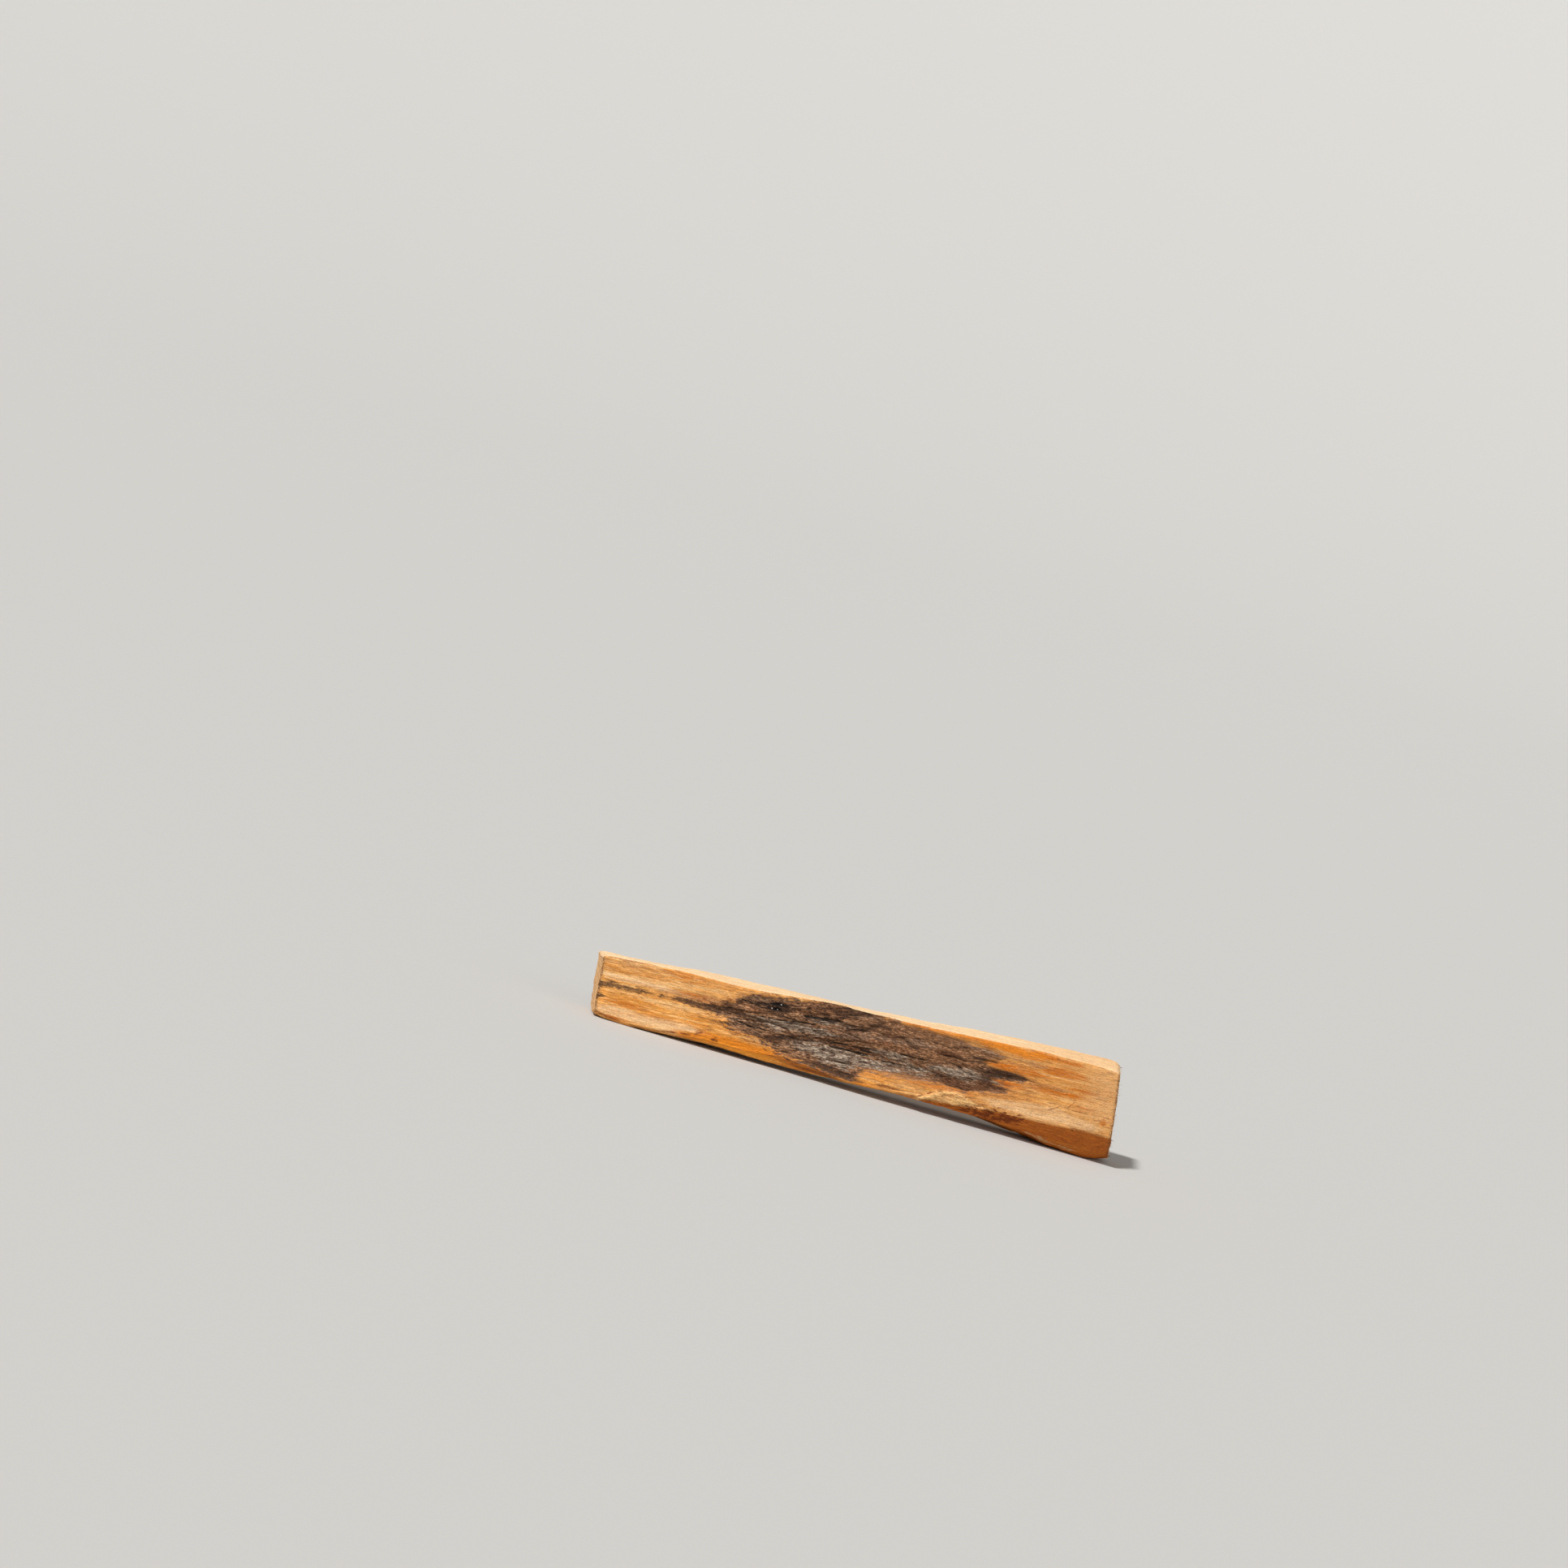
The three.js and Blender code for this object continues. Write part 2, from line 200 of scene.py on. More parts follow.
DUSKY = [
    [(43, 7.4, 7.8), (47, 7.2, 7.9), (53, 7.6, 8.5), (57, 7.8, 8.3)],
    [(66, 7.2, 7.8), (69, 6.3, 7.8), (73, 6.3, 7.7), (74.6, 7.1, 9.8), (76, 7.7, 9.2), (79, 8.3, 8.8)],
    [(73.5, 10.4, 10.8), (76, 10.0, 12.0), (80, 10.5, 11.8), (83.5, 11.3, 11.6)],
    [(40, 3.0, 3.3), (45, 2.6, 3.6), (49, 2.2, 3.3), (51.3, 2.1, 3.2)],
    [(33, 4.5, 5.8), (35, 4.2, 6.4), (37, 5.4, 6.6), (39.2, 5.9, 6.4)],
    [(55, 11.7, 12.3), (56.3, 11.4, 12.6), (57.5, 11.7, 12.3)],
    [(66, 11.7, 12.4), (68, 11.6, 12.8), (69, 12.1, 12.7)],
    [(45.8, 12.8, 14.2), (47.4, 12.2, 15.1), (49, 13.4, 15.1), (52, 14.7, 15.1)],
    [(31, 4.5, 4.9), (33, 4.6, 5.8), (35, 4.7, 6.3), (36.4, 5.2, 5.9)],
]
RUDDY = [
    [(35.6, 12.4, 13.1), (38, 11.2, 13.6), (42, 12.0, 14.5), (46, 12.6, 14.9)],
    [(42, 9.5, 10.2), (48, 9.6, 11.3), (54, 9.8, 11.4), (60, 9.9, 10.7)],
    [(29, 9.2, 10.0), (33, 9.4, 10.4)],
]
SILVER = [
    [(38.6, 5.6, 6.3), (41, 4.9, 6.5), (44, 4.3, 6.8), (47, 3.8, 6.9), (50, 3.7, 7.0), (52.5, 5.0, 7.1),
     (55, 5.2, 7.0), (57, 5.6, 6.6)],
    [(33.2, 7.4, 8.8), (35, 7.0, 9.2), (38, 7.8, 9.5), (41, 8.1, 9.8), (45, 8.6, 9.4)],
    [(57, 6.7, 7.4), (61, 6.8, 7.9), (64, 7.0, 8.0), (66.5, 7.4, 7.8)],
    [(66.0, 8.1, 8.8), (68, 7.9, 9.5), (70, 7.9, 10.0), (72, 8.0, 10.2), (74.4, 8.9, 9.8)],
    [(55, 8.1, 9.2), (57.5, 7.9, 9.3), (60.5, 8.2, 9.1)],
    [(41, 10.5, 10.9), (44, 10.9, 11.3), (47, 11.3, 11.6)],
]
CREVICES = [
    [(44, 7.5, 7.6), (46.5, 7.7, 8.0), (49, 8.0, 8.2)],
    [(45.5, 6.8, 7.0), (48, 6.9, 7.2), (52, 7.1, 7.4), (55, 7.5, 7.6)],
    [(50, 8.1, 8.3), (52, 8.2, 8.5), (54.5, 8.4, 8.7), (56, 8.6, 8.7)],
    [(51, 7.8, 7.9), (53.5, 7.9, 8.1)],
    [(55, 7.0, 7.1), (57, 7.0, 7.3), (59, 7.2, 7.3)],
    [(59.5, 9.3, 9.4), (62, 9.4, 9.7), (65, 9.7, 9.8)],
    [(33, 8.7, 8.8), (36, 9.0, 9.3), (38.5, 9.5, 9.8), (41, 9.9, 10.2)],
    [(39.5, 10.7, 10.9), (42, 11.0, 11.5), (44.5, 11.4, 11.9), (47, 12.0, 12.2)],
    [(48.3, 10.9, 11.1), (50, 11.3, 11.6), (52.3, 11.9, 12.0)],
    [(35.3, 6.4, 6.5), (38, 6.5, 6.8), (41, 6.8, 6.9)],
    [(69, 6.5, 6.6), (72, 6.3, 6.6), (74, 6.6, 6.7)],
    [(26.5, 6.9, 7.0), (30, 6.5, 6.8), (34, 6.5, 6.6)],
]
RESIN = [
    [(20, 1.0, 1.8), (23, 1.2, 2.8), (27, 1.2, 3.2), (34, 1.2, 3.4), (38, 1.2, 3.1), (46, 1.0, 2.6),
     (53, 1.4, 2.3)],
    [(49.5, 15.1, 15.5), (55, 15.0, 15.8), (62, 15.2, 16.1), (70, 15.6, 16.7), (75, 15.7, 17.0),
     (81, 15.4, 17.1), (85, 16.3, 17.1)],
]
AMBER_PLACES = [
    [(75, 8, 15), (82, 8.5, 16), (88, 9.2, 16.5), (94, 10.6, 15.4)],
    [(2, 9.2, 10.1), (8, 9.4, 10.3), (14, 9.9, 10.6)],
    [(11, 10.9, 12.4), (21, 11.4, 12.8), (30, 12.4, 13.2)],
    [(2.2, 4.7, 6.0), (7, 4.7, 5.9), (13, 4.9, 5.6)],
    [(3.5, 3.3, 4.6), (12, 3.6, 4.6)],
    [(20, 1.2, 5.6), (30, 1.4, 4.6), (40, 1.4, 3.0), (56, 1.6, 2.8)],
    [(52, 2.2, 4.0), (58, 2.6, 5.2), (64, 3.2, 5.8), (70, 5.4, 6.2)],
]
ORANGE_PLACES = [
    [(14.5, 12.0, 12.5), (17, 11.8, 12.8), (19.8, 12.1, 12.6)],
    [(4.5, 3.6, 4.1), (7.5, 3.4, 4.3), (10.5, 3.7, 4.1)],
    [(18, 8.8, 9.2), (20, 8.8, 9.5), (22, 9.1, 9.4)],
    [(76.4, 9.3, 10.0), (79, 9.1, 10.3), (82, 9.6, 10.2)],
    [(77, 12.4, 13.2), (81, 12.3, 13.7), (84, 12.7, 13.6)],
    [(63, 5.0, 5.5), (68, 5.2, 6.2), (73, 5.9, 6.3)],
    [(84, 16.5, 17.2), (87, 16.3, 17.4), (91, 16.8, 17.3)],
    [(85.8, 14.2, 15.1), (88.5, 13.9, 15.7), (91.6, 14.3, 15.4)],
    [(84.5, 10.4, 10.9), (88, 10.3, 11.3), (92, 10.9, 11.5)],
    [(92, 12.2, 12.6), (93.5, 12.0, 12.9), (95, 12.3, 12.6)],
    [(92.5, 9.1, 9.5), (94, 8.8, 9.8), (95.5, 9.2, 9.5)],
]
PALE_PLACES = [
    [(2.6, 1.3, 2.3), (5, 1.0, 2.9), (10, 1.0, 2.8), (16, 1.6, 3.2), (21, 2.4, 3.4)],
    [(2.5, 8.0, 8.8), (8, 8.1, 9.0), (14, 8.4, 9.2)],
    [(79, 5.0, 6.6), (84, 5.0, 7.6), (90, 5.4, 8.0), (97, 5.8, 7.2)],
]
BACK_RESIN = [
    [(6, 7.2, 7.4), (18, 7.4, 8.0), (36, 7.9, 8.8), (52, 8.4, 9.4), (66, 9.4, 9.8), (74, 10, 10.1)],
    [(58, 3.4, 3.6), (70, 3.5, 4.3), (86, 4.0, 5.1), (98, 4.8, 5.2)],
]
BACK_GREY = [
    [(66, 11.2, 11.4), (72, 10.8, 12.6), (80, 10.9, 13.4), (87, 12.0, 13.6), (94, 13.2, 13.5)],
    [(0.2, 2.0, 3.2), (8, 2.3, 3.1), (17, 2.8, 3.0)],
]
BACK_CREVICES = [
    [(14, 4.6, 4.7), (30, 5.3, 5.7), (48, 6.4, 6.6), (58, 7.1, 7.15)],
    [(62, 8.9, 9.0), (74, 9.6, 9.9), (88, 10.6, 10.7)],
]
TORN_FLAKE = [
    [(63.2, 2.3, 2.6), (65, 2.4, 3.4), (66, 2.5, 3.9), (67.3, 2.7, 4.9), (69, 2.9, 5.4), (71, 3.0, 5.9),
     (73, 3.3, 5.4), (77, 3.9, 4.6)],
]
RIDGE = [
    [(64.4, 2.4, 2.8), (66, 3.1, 3.5), (67.4, 4.0, 4.4), (69, 4.8, 5.1), (71, 5.4, 5.6)],
    [(70.6, 3.3, 3.9), (71.0, 3.2, 5.2), (71.5, 3.5, 5.4)],
]
ARRIS_STAIN = [
    [(71.4, 2.6, 2.9), (73, 2.5, 3.2), (76, 2.3, 3.6), (78, 2.5, 3.7), (80, 2.6, 4.3), (82, 2.8, 4.4),
     (83.6, 3.5, 4.1)],
]
LOWER_ARRIS = [
    (0, 3.4), (1.6, 1.8), (4, 0.95), (8, 0.65), (13, 0.8), (20, 1.45), (27, 1.8), (33, 2), (38, 2.65),
    (44, 2.35), (52, 1.8), (62, 2.55), (72, 3.45), (79, 4.25), (87, 4.6), (95, 5.35), (102, 5.45),
]
UNMARKED = -9
FAR_OUTSIDE = -99.0
POINTED_ENDS = 4


def inside(outlines, along, up):
    """How many millimetres a point lies inside the nearest outline, negative outside them all."""
    best = np.full(np.shape(along), FAR_OUTSIDE)
    for outline in outlines:
        at, low, high = np.array(outline).T
        reach = np.minimum(up - np.interp(along, at, low), np.interp(along, at, high) - up)
        beyond = np.maximum(at[0] - along, along - at[-1]).clip(0)
        best = np.maximum(best, reach - beyond / POINTED_ENDS)
    return best


def blend(low, high, value):
    """0 up to low, 1 from high on, and a smooth rise between them."""
    t = np.clip((value - low) / (high - low), 0, 1)
    return t * t * (3 - 2 * t)


# Fibres run along the grain, which rises a little towards the wide end. Noise that is stretched along it and
# cut by the surface gives long streaks on the split faces and specks on the sawn ends.
GRAIN_SLOPE = 0.06
LATTICE_SIZE = 16384
SEED_SHIFT = 3.7
SEED_STEP = 7919
CELL_STEPS = (73856093, 19349663, 83492791)
lattice = np.random.default_rng(7).uniform(-1, 1, LATTICE_SIZE)


def fibres(places, seed, length, width):
    """Smooth noise from -1 to 1, as long and as wide in millimetres as given, at each place."""
    along, depth, up = places[..., 0], places[..., 1], places[..., 2] - GRAIN_SLOPE * places[..., 0]
    coordinates = along / length + seed * SEED_SHIFT, depth / width, up / width
    cells = [np.floor(c).astype(np.int64) for c in coordinates]
    parts = [c - cell for c, cell in zip(coordinates, cells)]
    total = 0
    for corner in itertools.product((0, 1), repeat=3):
        share, key = 1, seed * SEED_STEP
        for step, part, cell, factor in zip(corner, parts, cells, CELL_STEPS):
            smooth = part * part * (3 - 2 * part)
            share = share * (smooth if step else 1 - smooth)
            key = key + (cell + step) * factor
        total = total + share * lattice[key % LATTICE_SIZE]
    return total


def groove(noise, half_width):
    """1 along the lines where the noise is zero, and 0 away from them."""
    return np.exp(-(noise / half_width) ** 2)


along = skin[..., 0] - lowest[0]
up = skin[..., 2]
highest_here = up.max(1, keepdims=True)
front = blend(0.3, 0.6, -normals[..., 1])
back = blend(0.3, 0.6, normals[..., 1])
top = blend(0.55, 0.8, normals[..., 2])
FACING = 0.3
faces_front, faces_back = front > FACING, back > FACING

# The grain swerves upwards past the dark pit in the hollow.
SWERVE = 2.2
swerve = SWERVE * blend(28, 54, along) * blend(1, 14, up)
grain = skin - swerve[..., None] * (0, 0, 1)
frayed_along = along + 1.2 * fibres(grain, 1, 5, 0.3) + 0.6 * fibres(grain, 2, 9, 0.9)
frayed_up = up + 0.2 * fibres(grain, 3, 6, 0.8) + 0.16 * fibres(grain, 4, 1.6, 0.25)

hollow = inside(HOLLOW, frayed_along, frayed_up)
streak = inside(STREAK, frayed_along, frayed_up)
black = inside(BLACK, frayed_along, frayed_up)
silver = inside(SILVER, frayed_along, frayed_up)
dusky = front * blend(-0.4, 0.3, inside(DUSKY, frayed_along, frayed_up))
ruddy = front * blend(-0.5, 0.5, inside(RUDDY, frayed_along, frayed_up))
orange = front * blend(-0.5, 0.3, inside(ORANGE_PLACES, frayed_along, frayed_up))
resin = np.where(faces_front, inside(RESIN, frayed_along, frayed_up), UNMARKED)
amber = front * blend(-0.8, 0.4, inside(AMBER_PLACES, frayed_along, frayed_up))
pale = front * blend(-0.5, 0.5, inside(PALE_PLACES, frayed_along, frayed_up))
flake = inside(TORN_FLAKE, along + 0.3 * (frayed_along - along), frayed_up)
in_crevice = inside(CREVICES, frayed_along, up + 0.5 * (frayed_up - up))
in_back_crevice = inside(BACK_CREVICES, frayed_along, frayed_up)
crevice = front * blend(-0.12, 0.08, in_crevice) + back * blend(-0.15, 0.1, in_back_crevice)
ridge = front * blend(-0.2, 0.15, inside(RIDGE, along + 0.2 * (frayed_along - along), up))
worn = front * blend(-0.5, 0.7, inside(HOLLOW, along, up))
arris = np.interp(along, *np.array(LOWER_ARRIS).T)

fine = fibres(grain, 5, 1.3, 0.28)
coarse = 0.6 * fibres(grain, 6, 6, 0.6) + 0.6 * fibres(grain, 15, 2.2, 0.7)
swells = fibres(grain, 7, 15, 1.8)
splits = groove(fibres(grain, 8, 10, 0.9), 0.09) + 0.6 * groove(fibres(grain, 9, 5, 0.45), 0.12)
clean_relief = 0.03 * fine + 0.035 * coarse + 0.05 * swells - 0.03 * splits
torn_relief = 0.12 * fine + 0.12 * coarse + 0.15 * swells - 0.17 * splits - 0.25 * crevice

# The back and the upper face are split in long low ledges. Small pits lie in the hollow, and a flake is torn
# out of the lower front, with a raised line along its edge.
LEDGE_HEIGHT = 0.22
LOW_LEDGE_HEIGHT = 0.12
LEDGE_SINK = 0.17
PITS = [(34.4, 10.9, 0.9, 0.3), (34.4, 11.9, 1.6, 0.28), (31.6, 11.3, 1.7, 0.14)]
PIT_DEPTH = 0.45
RIDGE_HEIGHT = 0.16
FLAKE_HEIGHT = 0.24
ledges = LEDGE_HEIGHT * blend(-0.12, 0.12, fibres(skin, 16, 26, 2.6))
ledges = ledges + LOW_LEDGE_HEIGHT * blend(-0.1, 0.1, fibres(skin, 17, 12, 1.2))
pitted = 0
for at, high, half_length, half_height in PITS:
    pitted += np.exp(-((along - at) / half_length) ** 2 - ((up - high) / half_height) ** 2)
relief = clean_relief + (worn + 0.4 * (1 - top) * (1 - front)) * torn_relief
relief += RIDGE_HEIGHT * ridge - PIT_DEPTH * front * pitted
relief += (1 - front) * (0.35 + 0.65 * back) * (ledges - LEDGE_SINK)
flake_step = FLAKE_HEIGHT * blend(-0.1, 0.15, flake) * blend(78, 66, along)
relief += front * (flake_step + 0.5 * blend(0, 0.4, flake) * torn_relief)
skin = skin + relief[..., None] * normals

# The sawn rims are a little rounded and torn.
RIM_ROUNDING = 0.2
ROUNDED_WIDTH = 0.12
RIM_TEAR = 0.15
TORN_WIDTH = 0.4
CORNER_DROP = 0.5
DROPPED_WIDTH = 0.35
to_end = np.minimum(stations, core_length - stations)[:, None]
rounding = RIM_ROUNDING * np.exp(-to_end / ROUNDED_WIDTH) * (1 + 0.6 * fibres(skin, 10, 0.8, 0.8))
skin = skin - rounding[..., None] * normals
tear = 0.6 * fibres(skin, 11, 0.5, 0.5) + 0.8 * fibres(skin, 14, 1, 2.2)
skin[..., 0] += RIM_TEAR * np.exp(-to_end / TORN_WIDTH) * tear
corner_share = np.exp(-to_end / DROPPED_WIDTH)
skin[..., 2] -= CORNER_DROP * corner_share * blend(1.5, 0, highest_here - skin[..., 2])
skin[..., 0] = skin[..., 0].clip(lowest[0], highest[0])
skin[..., 2] = np.maximum(skin[..., 2], 0)


def end_rings(rim):
    """The rings of a sawn end from its rim inwards, without the rim, and the middle point."""
    middle = rim.mean(0)
    shares = 1 - np.arange(1, END_RINGS) / END_RINGS
    rings = middle + shares[:, None, None] * (rim - middle)
    saw_scores = np.sin(rings[..., 1] * 9 + 2 * rings[..., 2])
    rough = 0.09 * fibres(rings, 12, 0.5, 0.6) + 0.05 * fibres(rings, 13, 0.5, 0.25) + 0.015 * saw_scores
    rings[..., 0] = (rings[..., 0] + rough).clip(lowest[0], highest[0])
    return rings, middle


narrow_rings, narrow_middle = end_rings(skin[0])
wide_rings, wide_middle = end_rings(skin[-1])
net = np.concatenate([narrow_rings[::-1], skin, wide_rings])
points = np.concatenate([net.reshape(-1, 3), [narrow_middle, wide_middle]])

ring_count = len(net)
starts = np.arange(ring_count - 1)[:, None] * POINTS_ROUND
first = (starts + np.arange(POINTS_ROUND)).ravel()
second = (starts + (np.arange(POINTS_ROUND) + 1) % POINTS_ROUND).ravel()
quads = np.stack([first, first + POINTS_ROUND, second + POINTS_ROUND, second], 1)
rim = np.arange(POINTS_ROUND)
next_on_rim = (rim + 1) % POINTS_ROUND
last_ring = (ring_count - 1) * POINTS_ROUND
narrow_fan = np.stack([rim, next_on_rim, np.full(POINTS_ROUND, len(points) - 2)], 1)
wide_fan = np.stack([last_ring + next_on_rim, last_ring + rim, np.full(POINTS_ROUND, len(points) - 1)], 1)


def make_piece(name, points, faces):
    """A smooth mesh of points in metres, in an object of the same name."""
    mesh = bpy.data.meshes.new(name)
    mesh.from_pydata(points, [], faces)
    mesh.shade_smooth()
    piece = bpy.data.objects.new(name, mesh)
    bpy.context.scene.collection.objects.link(piece)
    return piece, mesh


stick_faces = quads.tolist() + narrow_fan.tolist() + wide_fan.tolist()
stick, stick_mesh = make_piece("split_stick", (points * MM).tolist(), stick_faces)

# What the material reads at each point of the net: its value on the skin, and one value for the sawn ends.
# Painted light lightens places of the hollow, given by their strength, and by where they begin and end.
PAINTED_LIGHT_PLACES = [
    (1, (23, 27), (40, 35), (5.5, 7), (11.4, 10)),
    (1.1, (28, 29), (34, 33), (8.9, 9.4), (10.7, 10.2)),
    (0.8, (61, 65), (76, 73), (9.8, 10.6), (12.4, 11.8)),
    (0.4, (61, 65), (76, 73), (11.8, 12.4), (15.2, 14.4)),
]
fading = 0.7 * blend(66, 76, along) * blend(11.8, 13, up)
grey_on_back = inside(BACK_GREY, frayed_along, frayed_up).clip(UNMARKED, 0.3) - 0.6
stain = np.where(faces_front, hollow - fading, np.where(faces_back, grey_on_back, UNMARKED))
resin_on_back = inside(BACK_RESIN, frayed_along, frayed_up) - 0.3
any_crevice = np.where(faces_front, in_crevice, np.where(faces_back, in_back_crevice, UNMARKED))
edge_stain = np.where(normals[..., 1] < 0, inside(ARRIS_STAIN, frayed_along, frayed_up), UNMARKED)
pale_share = (0.55 - 0.12 * blend(70, 80, along)) * pale
pale_share = pale_share + 0.16 * front * blend(92, 97, along) * blend(7, 9, up)
lit = 0
for strength, left, right, low, high in PAINTED_LIGHT_PLACES:
    lit = lit + strength * blend(*left, along) * blend(*right, along) * blend(*low, up) * blend(*high, up)
marks = {
    "stain": (stain, UNMARKED),
    "black": (np.where(faces_front, black, UNMARKED), UNMARKED),
    "sooty": (np.where(faces_front, np.maximum(black, streak), UNMARKED), UNMARKED),
    "silver": (np.where(faces_front, silver, UNMARKED), UNMARKED),
    "resin": (np.where(faces_back, resin_on_back, resin), UNMARKED),
    "dusky": (dusky, 0),
    "ruddy": (ruddy, 0),
    "crevice": (any_crevice, UNMARKED),
    "split": (splits * (0.15 + 0.85 * worn), 0),
    "worn": (worn, 0.5),
    "lumpy": (blend(58, 42, along), 0.5),
    "facet": (blend(0.15, -0.25, up - arris) * blend(58, 66, along) * blend(3, 0, skin[..., 1]), 0),
    "amber": (amber, 0),
    "orange": (orange * (1 + 0.35 * blend(70, 76, along)), 0),
    "pale": (np.maximum(top * (1 - 0.3 * blend(74, 92, along)), pale_share), 0.5),
    "dry": ((0.7 * blend(50, 76, along) + 0.3 * blend(89, 99, along + 0.3 * frayed_up)) * front, 0),
    "flake": (front * blend(-0.1, 0.3, flake), 0),
    "fibre": (0 * up, 0),
    "ridge": (ridge, 0),
    "arris_stain": (edge_stain, UNMARKED),
    "lit": (front * lit, 0),
    "streaky": (blend(7.2, 8.5, frayed_up) * blend(36, 24, along) * front, 0),
    "sawn": (np.exp(-to_end / 0.25) * np.ones_like(up), 1),
    "swerve": (swerve * MM, 0),
    "rim": (np.exp(-((to_end - 0.15) / 0.2) ** 2) * front, 0),
}


def mark(mesh, name, values):
    """Stores a value for each point of a mesh, which the material reads by its name."""
    mesh.attributes.new(name, "FLOAT", "POINT").data.foreach_set("value", values)


for name, (on_skin, on_ends) in marks.items():
    values = np.full(len(points), float(on_ends))
    skin_start = (END_RINGS - 1) * POINTS_ROUND
    values[skin_start:skin_start + on_skin.size] = on_skin.ravel()
    mark(stick_mesh, name, values)


def srgb(red, green, blue):
    """A colour as a picture shows it, from 0 to 255, as the shader wants it."""
    shares = (value / 255 for value in (red, green, blue))
    return [s / 12.92 if s <= 0.04045 else ((s + 0.055) / 1.055) ** 2.4 for s in shares] + [1]


wood = bpy.data.materials.new("palo_santo_heartwood")
wood.use_nodes = True
tree = wood.node_tree
shader = tree.nodes["Principled BSDF"]


def add(kind, inputs, **settings):
    """A new node of the material, with its settings and its inputs as values or as links."""
    node = tree.nodes.new("ShaderNode" + kind)
    for name, value in settings.items():
        setattr(node, name, value)
    for socket, value in inputs.items():
        if isinstance(value, bpy.types.NodeSocket):
            tree.links.new(value, node.inputs[socket])
        else:
            node.inputs[socket].default_value = value
    return node


def maths(operation, *values):
    """The result of a sum on numbers or links."""
    return add("Math", dict(enumerate(values)), operation=operation).outputs[0]


def ramp(value, low, high, to_low=0, to_high=1):
    """A smooth change from to_low to to_high, as the value goes from low to high."""
    limits = {0: value, 1: low, 2: high, 3: to_low, 4: to_high}
    return add("MapRange", limits, interpolation_type="SMOOTHSTEP").outputs[0]


def layer(under, over, amount):
    """One colour laid over another."""
    return add("Mix", {0: amount, 6: under, 7: over}, data_type="RGBA").outputs[2]


def tint(under, wash, amount=1):
    """A colour seen through a wash of another."""
    inputs = {0: amount, 6: under, 7: wash}
    return add("Mix", inputs, data_type="RGBA", blend_type="MULTIPLY").outputs[2]


def marked(name):
    """The value that mark stored under a name."""
    return add("Attribute", {}, attribute_name=name).outputs["Fac"]


def streaks(length, width, detail, roughness, offset):
    """Noise from 0 to 1, stretched along the grain, its length and width in millimetres."""
    place = add("Mapping", {
        "Vector": in_grain,
        "Location": (offset, offset, offset),
        "Scale": (1000 / length, 1000 / width, 1000 / width),
    }).outputs[0]
    return add("TexNoise", {"Vector": place, "Scale": 1, "Detail": detail, "Roughness": roughness}).outputs[0]


def spot(along, up, half_length, half_height, slope):
    """1 inside a long spot on the front, at millimetres from the narrow end's tip and above the surface."""
    local = add("Mapping", {
        "Vector": object_place,
        "Location": ((along + lowest[0]) * MM, -0.0045, up * MM),
        "Rotation": (0, -math.atan(slope), 0),
        "Scale": (half_length * MM, 0.0045, half_height * MM),
    }, vector_type="TEXTURE").outputs[0]
    away = add("VectorMath", {0: local}, operation="LENGTH").outputs["Value"]
    return ramp(maths("ADD", away, ramp(lines, 0.3, 0.7, -0.4, 0.4)), 1, 0.5)


def spots(places, strength):
    """The strength inside any of several spots, and 0 outside them all."""
    total = 0
    for place in places:
        total = maths("MAXIMUM", spot(*place), total)
    return maths("MULTIPLY", total, strength)


object_place = add("TexCoord", {}).outputs["Object"]
turn = (0, math.atan(GRAIN_SLOPE), 0)
straight = add("Mapping", {"Vector": object_place, "Rotation": turn}).outputs[0]
waver = add("TexNoise", {"Vector": straight, "Scale": 160, "Detail": 2}).outputs["Color"]
waver = add("VectorMath", {0: waver, 1: (0.5, 0.5, 0.5)}, operation="SUBTRACT").outputs[0]
waver = add("VectorMath", {0: waver, 1: (0, 0.0005, 0.0005)}, operation="MULTIPLY").outputs[0]
swerving = add("CombineXYZ", {2: marked("swerve")}).outputs[0]
in_grain = add("VectorMath", {0: straight, 1: waver}, operation="ADD").outputs[0]
in_grain = add("VectorMath", {0: in_grain, 1: swerving}, operation="SUBTRACT").outputs[0]

# Clean heartwood is honey-coloured, with paler and more orange bands, fine streaks and thin dark pores.
HONEY = srgb(235, 168, 88)
AMBER = srgb(214, 138, 48)
PALE_STREAK = srgb(242, 194, 132)
TAN_STREAK = srgb(202, 132, 66)
PORE = srgb(138, 82, 40)
CREAM = srgb(236, 205, 163)
DRY_END = srgb(196, 139, 80)
GREY_STREAK = srgb(178, 132, 92)
RESIN_ORANGE = srgb(214, 122, 8)
BURNT_ORANGE = srgb(188, 100, 10)

bands = streaks(24, 2.0, 3, 0.6, 3.1)
long_lines = streaks(20, 0.32, 4, 0.65, 51.3)
lines = streaks(6, 0.42, 5, 0.7, 8.7)
short_hairs = streaks(0.8, 0.19, 4, 0.72, 14.2)
long_hairs = streaks(1.7, 0.15, 4, 0.75, 41.6)
hairs = maths("ADD", maths("MULTIPLY", short_hairs, marked("worn")),
              maths("MULTIPLY", long_hairs, maths("SUBTRACT", 1, marked("worn"))))
clots = streaks(1.25, 0.45, 4, 0.7, 33.8)
dashes = streaks(1.9, 0.24, 4, 0.65, 61.9)
specks = streaks(0.36, 0.13, 2, 0.6, 27.3)
pores = streaks(2.6, 0.14, 1, 0.5, 21.9)

